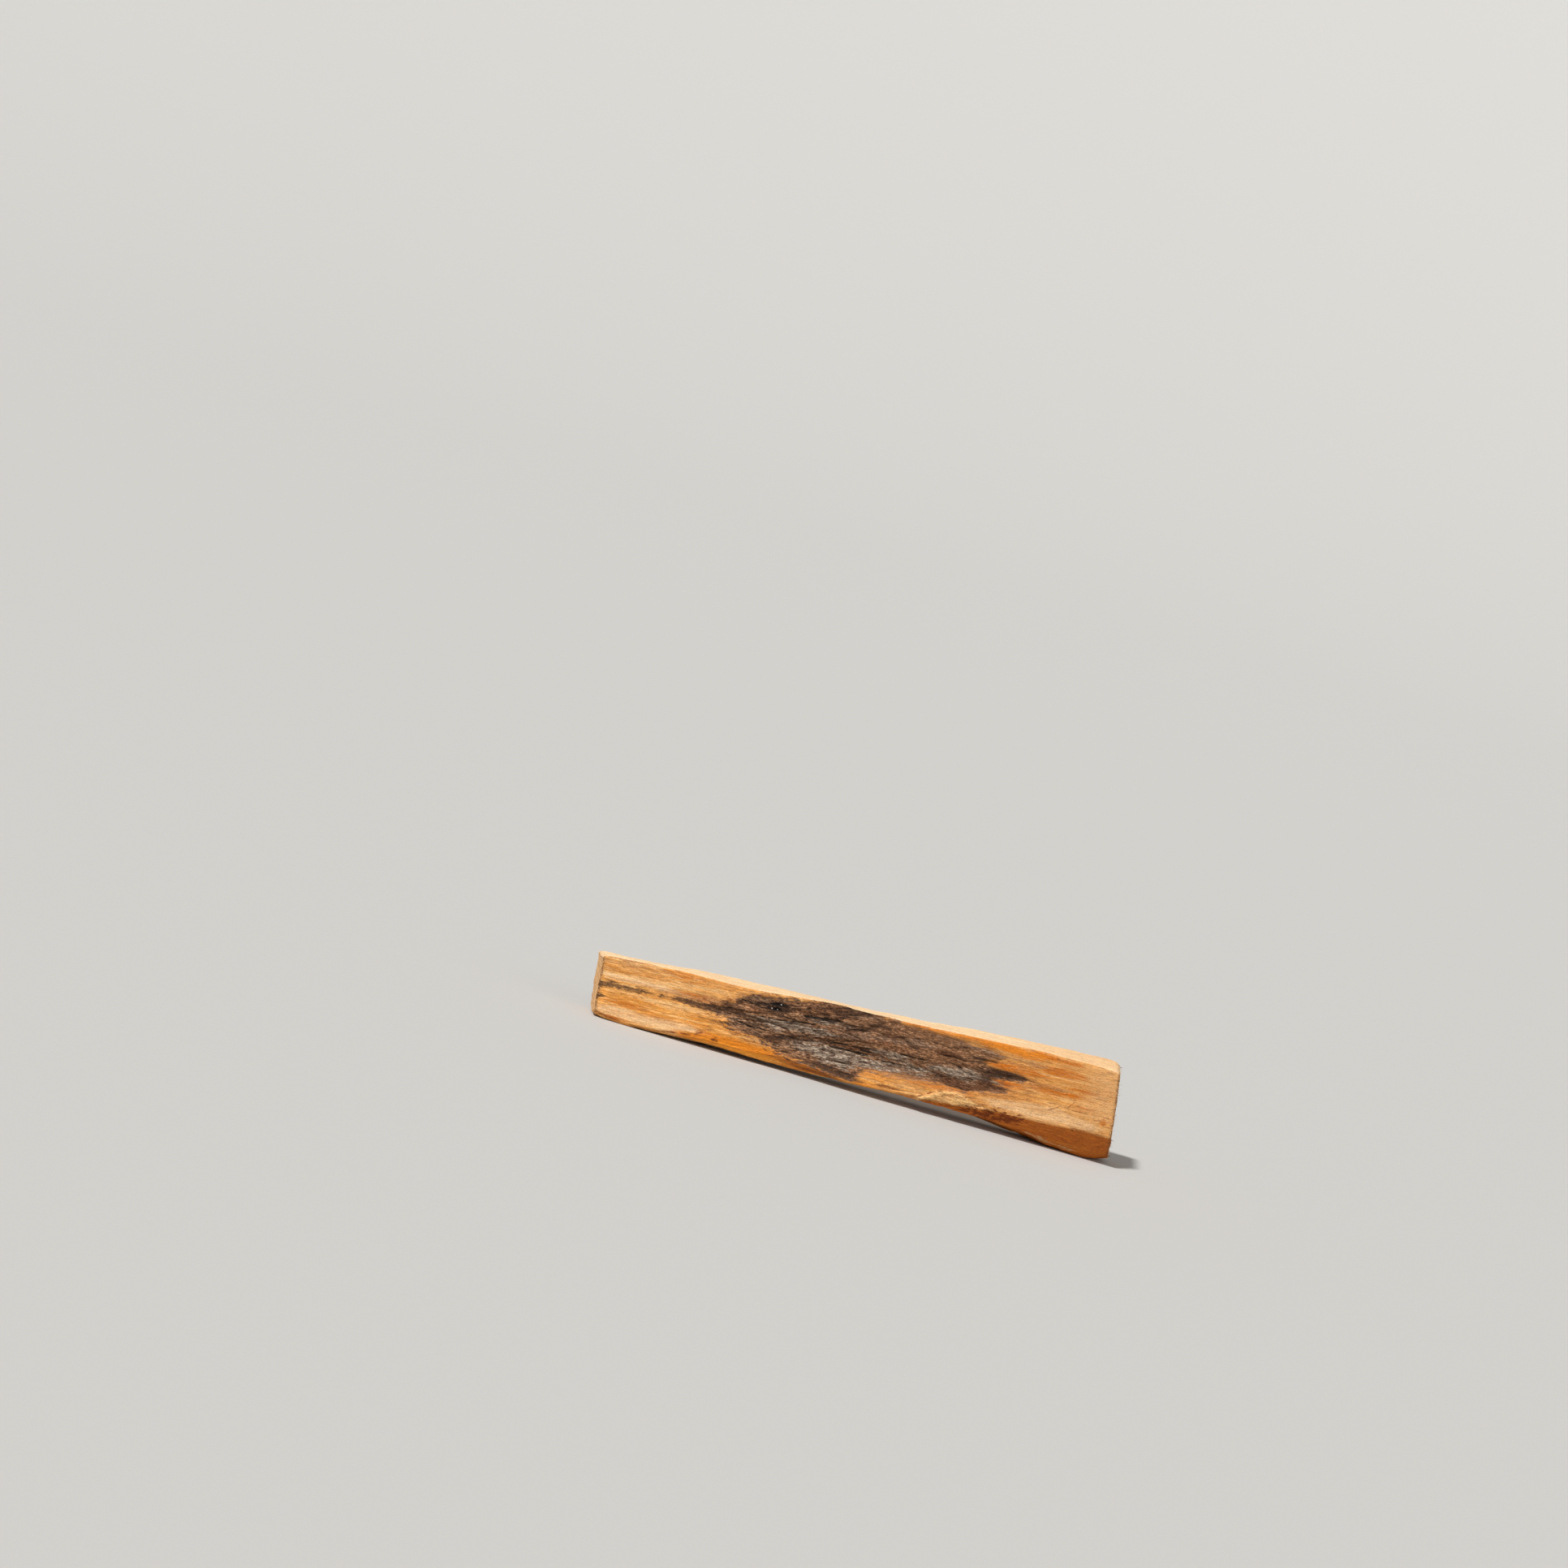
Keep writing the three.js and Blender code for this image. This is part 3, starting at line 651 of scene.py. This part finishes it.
colour = layer(HONEY, AMBER, ramp(bands, 0.5, 0.64, 0, 0.8))
colour = layer(colour, PALE_STREAK, ramp(bands, 0.48, 0.34, 0, 0.8))
colour = layer(colour, AMBER, maths("MULTIPLY", marked("amber"), ramp(lines, 0.4, 0.6, 0.3, 1)))
colour = layer(colour, GREY_STREAK, maths("MULTIPLY", marked("streaky"), ramp(bands, 0.45, 0.6, 0.15, 0.75)))
colour = layer(colour, TAN_STREAK, ramp(long_lines, 0.5, 0.62, 0, 0.6))
colour = layer(colour, PALE_STREAK, ramp(long_lines, 0.48, 0.36, 0, 0.6))
colour = layer(colour, TAN_STREAK, ramp(lines, 0.52, 0.64, 0, 0.55))
colour = layer(colour, PALE_STREAK, ramp(lines, 0.46, 0.34, 0, 0.55))
colour = layer(colour, TAN_STREAK, ramp(clots, 0.52, 0.66, 0, 0.4))
colour = layer(colour, DRY_END, maths("MULTIPLY", marked("dry"), 0.6))
colour = layer(colour, BURNT_ORANGE, maths("MULTIPLY", marked("orange"), ramp(lines, 0.4, 0.6, 0.3, 0.75)))
colour = layer(colour, PORE, ramp(pores, 0.58, 0.68, 0, 0.55))
resin_share = maths("ADD", marked("resin"), ramp(lines, 0.36, 0.64, 0.6, -0.6))
colour = layer(colour, RESIN_ORANGE, ramp(resin_share, -0.6, 0.4, 0, 0.9))
colour = layer(colour, CREAM, maths("MULTIPLY", marked("pale"), ramp(lines, 0.44, 0.62, 0.95, 0.6)))
colour = layer(colour, PALE_STREAK, maths("MULTIPLY", marked("flake"), 0.5))

# The sawn ends show growth rings in arcs round the log's heart, which lay behind the stick.
RING_BROWN = srgb(196, 146, 96)
HEART = (0, 0.022, -0.012)
RINGS_PER_METRE = 1300
across = add("VectorMath", {0: straight, 1: (0, 1, 1)}, operation="MULTIPLY").outputs[0]
from_heart = add("VectorMath", {0: across, 1: HEART}, operation="DISTANCE").outputs["Value"]
ring_place = maths("MULTIPLY", from_heart, RINGS_PER_METRE)
rings = add("TexNoise", {"W": ring_place, "Scale": 1}, noise_dimensions="1D").outputs[0]
rings = maths("MULTIPLY", ramp(rings, 0.42, 0.64), marked("sawn"))
colour = layer(colour, RING_BROWN, maths("MULTIPLY", rings, 0.7))

# The facet below the front is brown and darkened further by painted shade, with pale chips low down and dark
# stains along its upper edge. The lower edge is brown in places too, and dirt sits on the sawn rims.
FACET_TONE_AND_SHADE = srgb(218, 166, 84)
FACET_STAIN = srgb(70, 30, 8)
ARRIS_BROWN = srgb(110, 44, 0)
EDGE_BROWN_AND_SHADE = srgb(118, 56, 14)
PALE_CHIP = srgb(214, 196, 150)
LIT_RESIN = srgb(250, 166, 52)
RIM_DIRT = srgb(92, 56, 32)
# Painted shade darkens the downward facet beyond its own brown.
colour = tint(colour, FACET_TONE_AND_SHADE, maths("MULTIPLY", marked("facet"), 0.95))
colour = layer(colour, FACET_STAIN, spots([
    (75.2, 3.4, 0.5, 0.2, 0), (78.5, 3.8, 0.6, 0.25, 0.1), (81.5, 2.9, 0.9, 0.25, 0.1),
    (87.3, 17.0, 0.35, 0.18, 0), (84.4, 4.6, 0.8, 0.22, 0.1), (93.6, 5.0, 0.5, 0.25, 0.1),
    (94.5, 5.1, 0.25, 0.2, 0),
], ramp(short_hairs, 0.42, 0.6, 0.9, 0.4)))
arris_stain = maths("ADD", marked("arris_stain"), ramp(clots, 0.35, 0.65, 0.9, -0.9))
colour = layer(colour, ARRIS_BROWN, ramp(arris_stain, -0.3, 0.4, 0, 0.9))
# Brown stains along the lower edge; the long spot in the middle, at 44 mm, is painted shade where the edge
# turns under.
colour = layer(colour, EDGE_BROWN_AND_SHADE, spots([
    (5.2, 0.75, 3.4, 0.42, -0.03), (10.5, 0.5, 3, 0.2, 0.03), (16, 1.1, 2.6, 0.2, 0.2),
    (19.6, 1.8, 1.4, 0.25, 0.2), (21.8, 2.6, 1.1, 0.35, 0.7), (25, 2.3, 0.8, 0.5, 0.4),
    (96.5, 5.4, 5, 0.3, 0.06), (66, 2.7, 3, 0.25, 0.12), (76.5, 4.8, 1.6, 0.35, 0.1),
    (83.4, 4.9, 0.9, 0.3, 0.1), (44, 1.75, 7, 0.5, -0.02), (78.8, 9.6, 2.4, 0.42, 0.02),
    (58, 2.9, 4.5, 0.45, 0.12),
], ramp(short_hairs, 0.38, 0.58, 1, 0.55)))
colour = layer(colour, FACET_STAIN, spots([
    (24.7, 2.1, 0.35, 0.22, 0), (25.5, 2.0, 0.3, 0.15, 0.3), (24.9, 2.6, 0.4, 0.15, 0.3),
], ramp(short_hairs, 0.4, 0.55, 0.9, 0.3)))
colour = layer(colour, PALE_CHIP, spots([
    (89, 1.3, 2.6, 0.5, -0.1), (93.5, 0.9, 2.4, 0.4, -0.03), (86.3, 1.8, 1, 0.3, -0.1),
], ramp(clots, 0.4, 0.55, 0.55, 0.15)))
# Painted light: a brighter orange low on the front in the middle, where the edge turns under.
colour = layer(colour, LIT_RESIN, spots([(30.5, 1.4, 9.5, 0.9, 0.02)], 0.65))
broken = maths("MULTIPLY", marked("rim"), ramp(clots, 0.42, 0.6, 1, 0.35))
colour = layer(colour, RIM_DIRT, maths("MULTIPLY", broken, 0.8))

# Two short cracks run across the grain near the wide end, a small ochre knot lies beside them, and a torn
# line crosses the lower front. Its raised edge is pale with a painted highlight, and its crease brown with
# painted shade.
CRACK = srgb(138, 78, 36)
KNOT = srgb(188, 108, 38)
RIDGE_PALE_AND_HIGHLIGHT = srgb(244, 198, 132)
CREASE_BROWN_AND_SHADE = srgb(112, 60, 26)
colour = layer(colour, RIDGE_PALE_AND_HIGHLIGHT, maths("MULTIPLY", marked("ridge"), 0.75))
colour = layer(colour, CREASE_BROWN_AND_SHADE, spots([
    (64.7, 3.2, 1.5, 0.14, 0.6), (66.4, 4.3, 1.3, 0.16, 0.72), (67.8, 5.0, 0.9, 0.15, 0.1),
], 0.85))
colour = layer(colour, CRACK, spots([
    (88.7, 7.6, 1.1, 0.16, 0.65), (89.9, 8.4, 0.8, 0.1, 0.85), (92.2, 9.6, 1.4, 0.08, 1.35),
    (92.6, 10.6, 0.8, 0.12, 0.35),
], 0.85))
colour = layer(colour, BURNT_ORANGE, spots([(88.4, 14.8, 2.4, 0.45, 0.03), (5.8, 0.8, 3.6, 0.5, -0.03)], 0.6))
colour = layer(colour, KNOT, spots([(98.8, 8.0, 0.75, 0.75, 0)], 0.85))

# The worn hollow is grey-brown and streaked, blackened in places, with a silvery band.
HAZE = srgb(156, 100, 56)
BROWN = srgb(138, 95, 63)
BROWN_FIBRE = srgb(176, 134, 100)
BROWN_SHADE = srgb(58, 39, 26)
RUDDY_BROWN = srgb(132, 84, 52)
DUSK = srgb(184, 170, 160)
SILVER_GREY = srgb(150, 130, 112)
SILVER_FIBRE = srgb(188, 170, 150)
SOOT_AND_CREVICE_SHADE = srgb(34, 25, 20)
SOOTY_BROWN = srgb(92, 62, 41)
SPLIT_SHADE = srgb(60, 38, 24)

stain_edge = maths("ADD", marked("stain"), ramp(lines, 0.36, 0.64, 0.35, -0.35))
stain_edge = maths("ADD", stain_edge, ramp(hairs, 0.3, 0.7, -0.35, 0.35))
lumps = marked("lumpy")
stain_edge = maths("ADD", stain_edge, maths("MULTIPLY", ramp(clots, 0.35, 0.65, 0.55, -0.55), lumps))
haze = maths("ADD", marked("stain"), ramp(lines, 0.36, 0.64, 1.2, -1.2))
colour = layer(colour, HAZE, ramp(haze, -1.8, 0.4, 0, 0.6))
fray = maths("ADD", marked("stain"), ramp(clots, 0.35, 0.65, 2.2, -2.2))
fray = maths("ADD", fray, ramp(short_hairs, 0.35, 0.65, 0.8, -0.8))
colour = layer(colour, EDGE_BROWN_AND_SHADE, maths("MULTIPLY", ramp(fray, 0, 0.5, 0, 0.6), lumps))
stained = layer(BROWN, RUDDY_BROWN, maths("MULTIPLY", marked("ruddy"), 0.8))
stained = layer(stained, SILVER_GREY, ramp(bands, 0.48, 0.38, 0, 0.4))
stained = layer(stained, BROWN_FIBRE, maths("MULTIPLY", lumps, ramp(clots, 0.5, 0.62, 0, 0.75)))
stained = layer(stained, BROWN_FIBRE, ramp(hairs, 0.52, 0.62, 0, 0.8))
grey = layer(SILVER_GREY, SILVER_FIBRE, ramp(hairs, 0.5, 0.62))
grey = layer(grey, BROWN, ramp(clots, 0.5, 0.4, 0, 0.5))
silver_share = maths("ADD", marked("silver"), ramp(lines, 0.36, 0.64, 0.5, -0.5))
stained = layer(stained, grey, ramp(silver_share, -0.4, 0.4, 0, 0.95))
stained = layer(stained, BROWN_SHADE, maths("MULTIPLY", lumps, ramp(clots, 0.47, 0.38, 0, 0.8)))
shading = maths("MULTIPLY", ramp(silver_share, -0.4, 0.4, 0.9, 0.6), ramp(lumps, 0, 1, 0.6, 1))
stained = layer(stained, BROWN_SHADE, maths("MULTIPLY", shading, ramp(dashes, 0.45, 0.39)))
stained = layer(stained, BROWN_SHADE, maths("MULTIPLY", shading, ramp(hairs, 0.46, 0.37, 0, 0.85)))
stained = tint(stained, DUSK, marked("dusky"))
colour = layer(colour, stained, ramp(stain_edge, -0.2, 0.1))
specky = maths("MULTIPLY_ADD", specks, 0.5, maths("MULTIPLY", short_hairs, 0.5))
specky = maths("SUBTRACT", specky, maths("MULTIPLY", ramp(marked("black"), -0.1, 0.3), 0.05))
sooty_edge = maths("ADD", marked("sooty"), ramp(short_hairs, 0.3, 0.7, 0.3, -0.3))
colour = layer(colour, SOOTY_BROWN, ramp(sooty_edge, -0.3, 0.1, 0, 0.75))
soot = maths("MULTIPLY", ramp(sooty_edge, -0.1, 0.2), ramp(marked("black"), -0.3, 0.1, 0.5, 0.95))
colour = layer(colour, SOOT_AND_CREVICE_SHADE, maths("MULTIPLY", soot, ramp(specky, 0.55, 0.47)))
# Painted shade darkens the crevices, on the front and the back, and the splits along the grain.
cut = maths("ADD", marked("crevice"), ramp(dashes, 0.36, 0.64, 0.1, -0.1))
colour = layer(colour, SOOT_AND_CREVICE_SHADE, ramp(cut, -0.05, 0.04, 0, 0.9))
colour = layer(colour, SPLIT_SHADE, ramp(marked("split"), 0.2, 1, 0, 0.7))

# Pitch fills the pit in the upper corner of the hollow, and three beads in it are painted near white as
# painted glints.
PITCH = srgb(14, 10, 10)
PAINTED_GLINT = srgb(250, 242, 232)
pitch = spots([(34.4, 11.9, 1.7, 0.34, 0.12), (31.8, 11.3, 1.7, 0.16, 0.1), (34.4, 10.9, 0.9, 0.34, 0.1)], 1)
colour = layer(colour, PITCH, pitch)
colour = layer(colour, PAINTED_GLINT, marked("bead"))

# Fine fibres are painted lighter and darker one by one, partly their own tone and partly painted highlights
# and shade, more so in the worn hollow than on pale or dry wood. Painted light also lightens places of the
# hollow. Resin is smoother than wood, and the fibres stand up as a fine relief.
swing = maths("SUBTRACT", 0.3, maths("MULTIPLY", marked("pale"), 0.16))
swing = maths("SUBTRACT", swing, maths("MULTIPLY", marked("dry"), 0.1))
swing = maths("ADD", swing, maths("MULTIPLY", marked("worn"), 0.14))
brightness = maths("MULTIPLY_ADD", ramp(hairs, 0.3, 0.7, -1, 1), swing, 1)
brightness = maths("ADD", brightness, ramp(specks, 0.3, 0.7, -0.18, 0.18))
brightness = maths("ADD", brightness, maths("MULTIPLY", marked("fibre"), 0.3))
brightness = maths("ADD", brightness, maths("MULTIPLY", marked("lit"), 0.3))
shades = add("CombineColor", {0: brightness, 1: brightness, 2: brightness}).outputs[0]
tree.links.new(tint(colour, shades), shader.inputs["Base Color"])
roughness = ramp(marked("resin"), -0.4, 0.4, 0.75, 0.5)
roughness = maths("SUBTRACT", roughness, maths("MULTIPLY", marked("bead"), 0.45))
tree.links.new(roughness, shader.inputs["Roughness"])
shader.inputs["Specular IOR Level"].default_value = 0.25
height = maths("ADD", maths("ADD", lines, hairs), maths("MULTIPLY", specks, 0.5))
height = maths("ADD", height, maths("MULTIPLY", clots, marked("worn")))
height = maths("MULTIPLY", height, ramp(marked("worn"), 0, 1, 0.5, 1.35))
bump = add("Bump", {"Height": height, "Distance": 0.0002, "Strength": 0.8})
tree.links.new(bump.outputs[0], shader.inputs["Normal"])
stick_mesh.materials.append(wood)

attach(stick, "root")
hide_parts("stick")

# Three small beads sit in the dark pit of the hollow, painted near white as painted glints on the pitch. They
# share the wood's material, where they are smoother than the wood.
BEADS = [(34.9, 10.85, 0.16), (35.3, 12.0, 0.14), (33.8, 10.9, 0.1)]
BEAD_FLATNESS = 0.8
BEAD_RINGS = 7
BEAD_SPOKES = 12

bead_places = []
for at, high, radius in BEADS:
    slice_at = np.abs(along.mean(1) - at).argmin()
    nearest = np.where(front[slice_at] > 0.5, np.abs(skin[slice_at, :, 2] - high), math.inf).argmin()
    bead_places.append((skin[slice_at, nearest], radius))
tilts = np.linspace(0, math.pi, BEAD_RINGS + 2)[1:-1]
spins = np.linspace(0, 2 * math.pi, BEAD_SPOKES + 1)[:-1]
tilts, spins = np.meshgrid(tilts, spins, indexing="ij")
globe = [np.sin(tilts) * np.cos(spins), np.cos(tilts) * BEAD_FLATNESS, np.sin(tilts) * np.sin(spins)]
globe = np.stack(globe, -1).reshape(-1, 3)
back_pole, front_pole, last_row = len(globe), len(globe) + 1, len(globe) - BEAD_SPOKES
globe = np.concatenate([globe, [(0, BEAD_FLATNESS, 0), (0, -BEAD_FLATNESS, 0)]])
globe_faces = []
for n in range(BEAD_SPOKES):
    m = (n + 1) % BEAD_SPOKES
    globe_faces += [(back_pole, m, n), (last_row + n, last_row + m, front_pole)]
    for row in range(0, last_row, BEAD_SPOKES):
        next_row = row + BEAD_SPOKES
        globe_faces.append((row + n, row + m, next_row + m, next_row + n))
bead_points = [place + radius * globe for place, radius in bead_places]
bead_faces = [[len(globe) * n + k for k in face] for n in range(len(BEADS)) for face in globe_faces]
bead_points = (np.concatenate(bead_points) * MM).tolist()
glint_beads, bead_mesh = make_piece("glint_beads", bead_points, bead_faces)
mark(bead_mesh, "bead", np.ones(len(bead_points)))
bead_mesh.materials.append(wood)

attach(glint_beads, "root")

# Loose fibres stand off the torn wood, still held at one end. They are thickest in the worn hollow, where
# they lie along the grain. A few stand up along the upper edges, and short pale burrs out of the sawn rims.
FIBRE_REACH = 0.35
ROOT_DEPTH = 0.03
TURNED_SHARE = 0.5
BURR_COUNT = 450
BURR_MARKS = {"rim": 0, "sawn": 0, "pale": 0.9}

chance = np.random.default_rng(23)
last_slice = len(skin) - 1
column_gap = np.linalg.norm(np.roll(skin, -1, 1) - skin, axis=-1).mean(0)
slice_gap = core_length / last_slice
normals = outward(skin)


def on_skin(grid, slices, columns):
    """Values of the net between its points."""
    slices = slices.clip(0, last_slice - 0.001)
    low, left = np.floor(slices).astype(int), np.floor(columns).astype(int)
    s, c = (slices - low)[:, None], (columns - left)[:, None]
    left, right = left % POINTS_ROUND, (left + 1) % POINTS_ROUND
    below = grid[low, left] * (1 - c) + grid[low, right] * c
    return below * (1 - s) + (grid[low + 1, left] * (1 - c) + grid[low + 1, right] * c) * s


def pick(weights, count):
    """Random places on the net, more of them where the weights are high."""
    chosen = chance.choice(weights.size, count, p=(weights / weights.sum()).ravel())
    slices, columns = np.unravel_index(chosen, weights.shape)
    return slices + chance.uniform(0, 1, count), columns + chance.uniform(0, 1, count)


def grow(weights, count, length, radius, lift, spread):
    """Roots, middles, tips and radii of fibres, and the places on the net that they grow from.

    Length, radius and lift are ranges in millimetres, and the spread is how far the fibres stray from the
    grain, in radians.
    """
    slices, columns = pick(weights, count)
    long = chance.uniform(*length, count) * np.where(chance.uniform(0, 1, count) < TURNED_SHARE, -1, 1)
    aside = long * np.tan(chance.normal(0, spread, count)) / column_gap[columns.astype(int) % POINTS_ROUND]
    high = chance.uniform(*lift, count)[:, None]
    root = on_skin(skin, slices, columns) - ROOT_DEPTH * on_skin(normals, slices, columns)
    middle_at = slices + long / slice_gap / 2, columns + aside / 2
    tip_at = slices + long / slice_gap, columns + aside
    middle = on_skin(skin, *middle_at) + 0.4 * high * on_skin(normals, *middle_at)
    tip = on_skin(skin, *tip_at) + high * on_skin(normals, *tip_at)
    tip[:, 0] += slice_gap * (tip_at[0] - tip_at[0].clip(0, last_slice))
    return root, middle, tip, chance.uniform(*radius, count), slices, columns


area = column_gap[None, :] * blend(0.15, 0.6, up)
upper_edges = blend(0.6, 0, highest_here - up) * area
rims = np.exp(-to_end / 0.3) * area
batches = [
    grow(worn * area, 2400, (0.4, 1.4), (0.02, 0.045), (0.0, 0.08), 0.07),
    grow(worn * area, 60, (0.3, 0.9), (0.012, 0.02), (0.1, 0.3), 0.4),
    grow((1.1 - top) * area, 2400, (0.3, 1.2), (0.015, 0.035), (-0.02, 0.05), 0.06),
    grow(front * blend(-0.2, 0.2, flake) * area, 250, (0.4, 1.8), (0.02, 0.05), (0.02, 0.2), 0.2),
    grow(upper_edges, 120, (0.2, 0.7), (0.012, 0.025), (0.1, 0.4), 0.4),
    grow(rims, BURR_COUNT, (0.15, 0.4), (0.05, 0.1), (-0.08, 0.12), 0.4),
]
roots, middles, tips, radii, slices, columns = (np.concatenate(parts) for parts in zip(*batches))

fibre_count = len(roots)
heading = tips - roots
heading /= np.linalg.norm(heading, axis=1, keepdims=True)
outside = on_skin(normals, slices, columns)
sideways = np.cross(outside, heading)
turns = np.radians([90, 210, 330])[:, None, None]
spokes = (np.sin(turns) * outside + np.cos(turns) * sideways) * radii[:, None]
fibre_points = np.concatenate([roots + spokes, middles + 0.8 * spokes, tips[None]]).transpose(1, 0, 2)
box_low, box_high = (np.array(list(corner)) / MM for corner in cad_box)
fibre_points = fibre_points.clip(box_low - FIBRE_REACH, box_high + FIBRE_REACH)
fibre_points[..., 2] = fibre_points[..., 2].clip(0)
ROOT_RING, MIDDLE_RING, TIP = (0, 1, 2), (3, 4, 5), 6
POINTS_PER_FIBRE = 7
facets = [ROOT_RING[::-1]]
for a, b in ((0, 1), (1, 2), (2, 0)):
    above_a, above_b = MIDDLE_RING[a], MIDDLE_RING[b]
    facets += [(a, b, above_b), (a, above_b, above_a), (above_a, above_b, TIP)]
faces = (np.arange(fibre_count)[:, None, None] * POINTS_PER_FIBRE + np.array(facets)).reshape(-1, 3)

fibre_points = (fibre_points.reshape(-1, 3) * MM).tolist()
loose_fibres, fibre_mesh = make_piece("loose_fibres", fibre_points, faces.tolist())
whole_slices, whole_columns = slices.astype(int).clip(0, last_slice), columns.astype(int) % POINTS_ROUND
is_burr = np.arange(fibre_count) >= fibre_count - BURR_COUNT
for name, (values, _) in marks.items():
    values = values[whole_slices, whole_columns]
    values = np.where(is_burr, BURR_MARKS.get(name, values), values)
    mark(fibre_mesh, name, np.repeat(values, POINTS_PER_FIBRE))
shade = np.repeat(chance.uniform(-1, 1, fibre_count), POINTS_PER_FIBRE)
fibre_mesh.attributes["fibre"].data.foreach_set("value", shade)
fibre_mesh.materials.append(wood)

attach(loose_fibres, "root")

# A pale seamless floor that rises gently all round, and a soft key light from above the narrow end.
FLOOR_RADIUS = 1.6
SWEEP_RADIUS = 6.0
SWEEP_HEIGHT = 1.5
SWEEP_RINGS = 24
FLOOR_SPOKES = 96
FLOOR_TONE = (0.52, 0.51, 0.49, 1)

sweep_radii = np.linspace(FLOOR_RADIUS, SWEEP_RADIUS, SWEEP_RINGS + 1)
radii = np.concatenate([[0.02, 0.3], sweep_radii])
turns = np.linspace(0, 2 * math.pi, FLOOR_SPOKES + 1)[:-1]
rise = SWEEP_HEIGHT * (np.maximum(radii - FLOOR_RADIUS, 0) / (SWEEP_RADIUS - FLOOR_RADIUS)) ** 2
floor_points = [(r * math.cos(t), r * math.sin(t), z) for r, z in zip(radii, rise) for t in turns]
floor_faces = [tuple(range(FLOOR_SPOKES))]
for inner in range(0, len(floor_points) - FLOOR_SPOKES, FLOOR_SPOKES):
    outer = inner + FLOOR_SPOKES
    for n in range(FLOOR_SPOKES):
        m = (n + 1) % FLOOR_SPOKES
        floor_faces.append((inner + n, outer + n, outer + m, inner + m))
floor, floor_mesh = make_piece("floor", floor_points, floor_faces)
paper = bpy.data.materials.new("pale_paper")
paper.use_nodes = True
paper_shader = paper.node_tree.nodes["Principled BSDF"]
paper_shader.inputs["Base Color"].default_value = FLOOR_TONE
paper_shader.inputs["Roughness"].default_value = 0.9
floor_mesh.materials.append(paper)

KEY_DIRECTION = Vector((-0.42, -0.45, 0.79))
FILL_DIRECTION = Vector((0.5, -0.8, 0.25))
WORLD_COLOUR = (1, 0.98, 0.95, 1)
WORLD_STRENGTH = 0.32


def add_sun(name, towards, strength, softness):
    """A sun lamp that shines from a direction, with its softness as an angle in degrees."""
    lamp = bpy.data.lights.new(name, "SUN")
    lamp.energy = strength
    lamp.angle = math.radians(softness)
    sun = bpy.data.objects.new(name, lamp)
    sun.rotation_euler = towards.to_track_quat("Z", "Y").to_euler()
    bpy.context.scene.collection.objects.link(sun)


add_sun("key_light", KEY_DIRECTION, strength=3.4, softness=6)
add_sun("fill_light", FILL_DIRECTION, strength=0.7, softness=50)
world = bpy.data.worlds.new("studio")
world.use_nodes = True
background = world.node_tree.nodes["Background"]
background.inputs["Color"].default_value = WORLD_COLOUR
background.inputs["Strength"].default_value = WORLD_STRENGTH
bpy.context.scene.world = world
bpy.context.scene.view_settings.view_transform = "Standard"
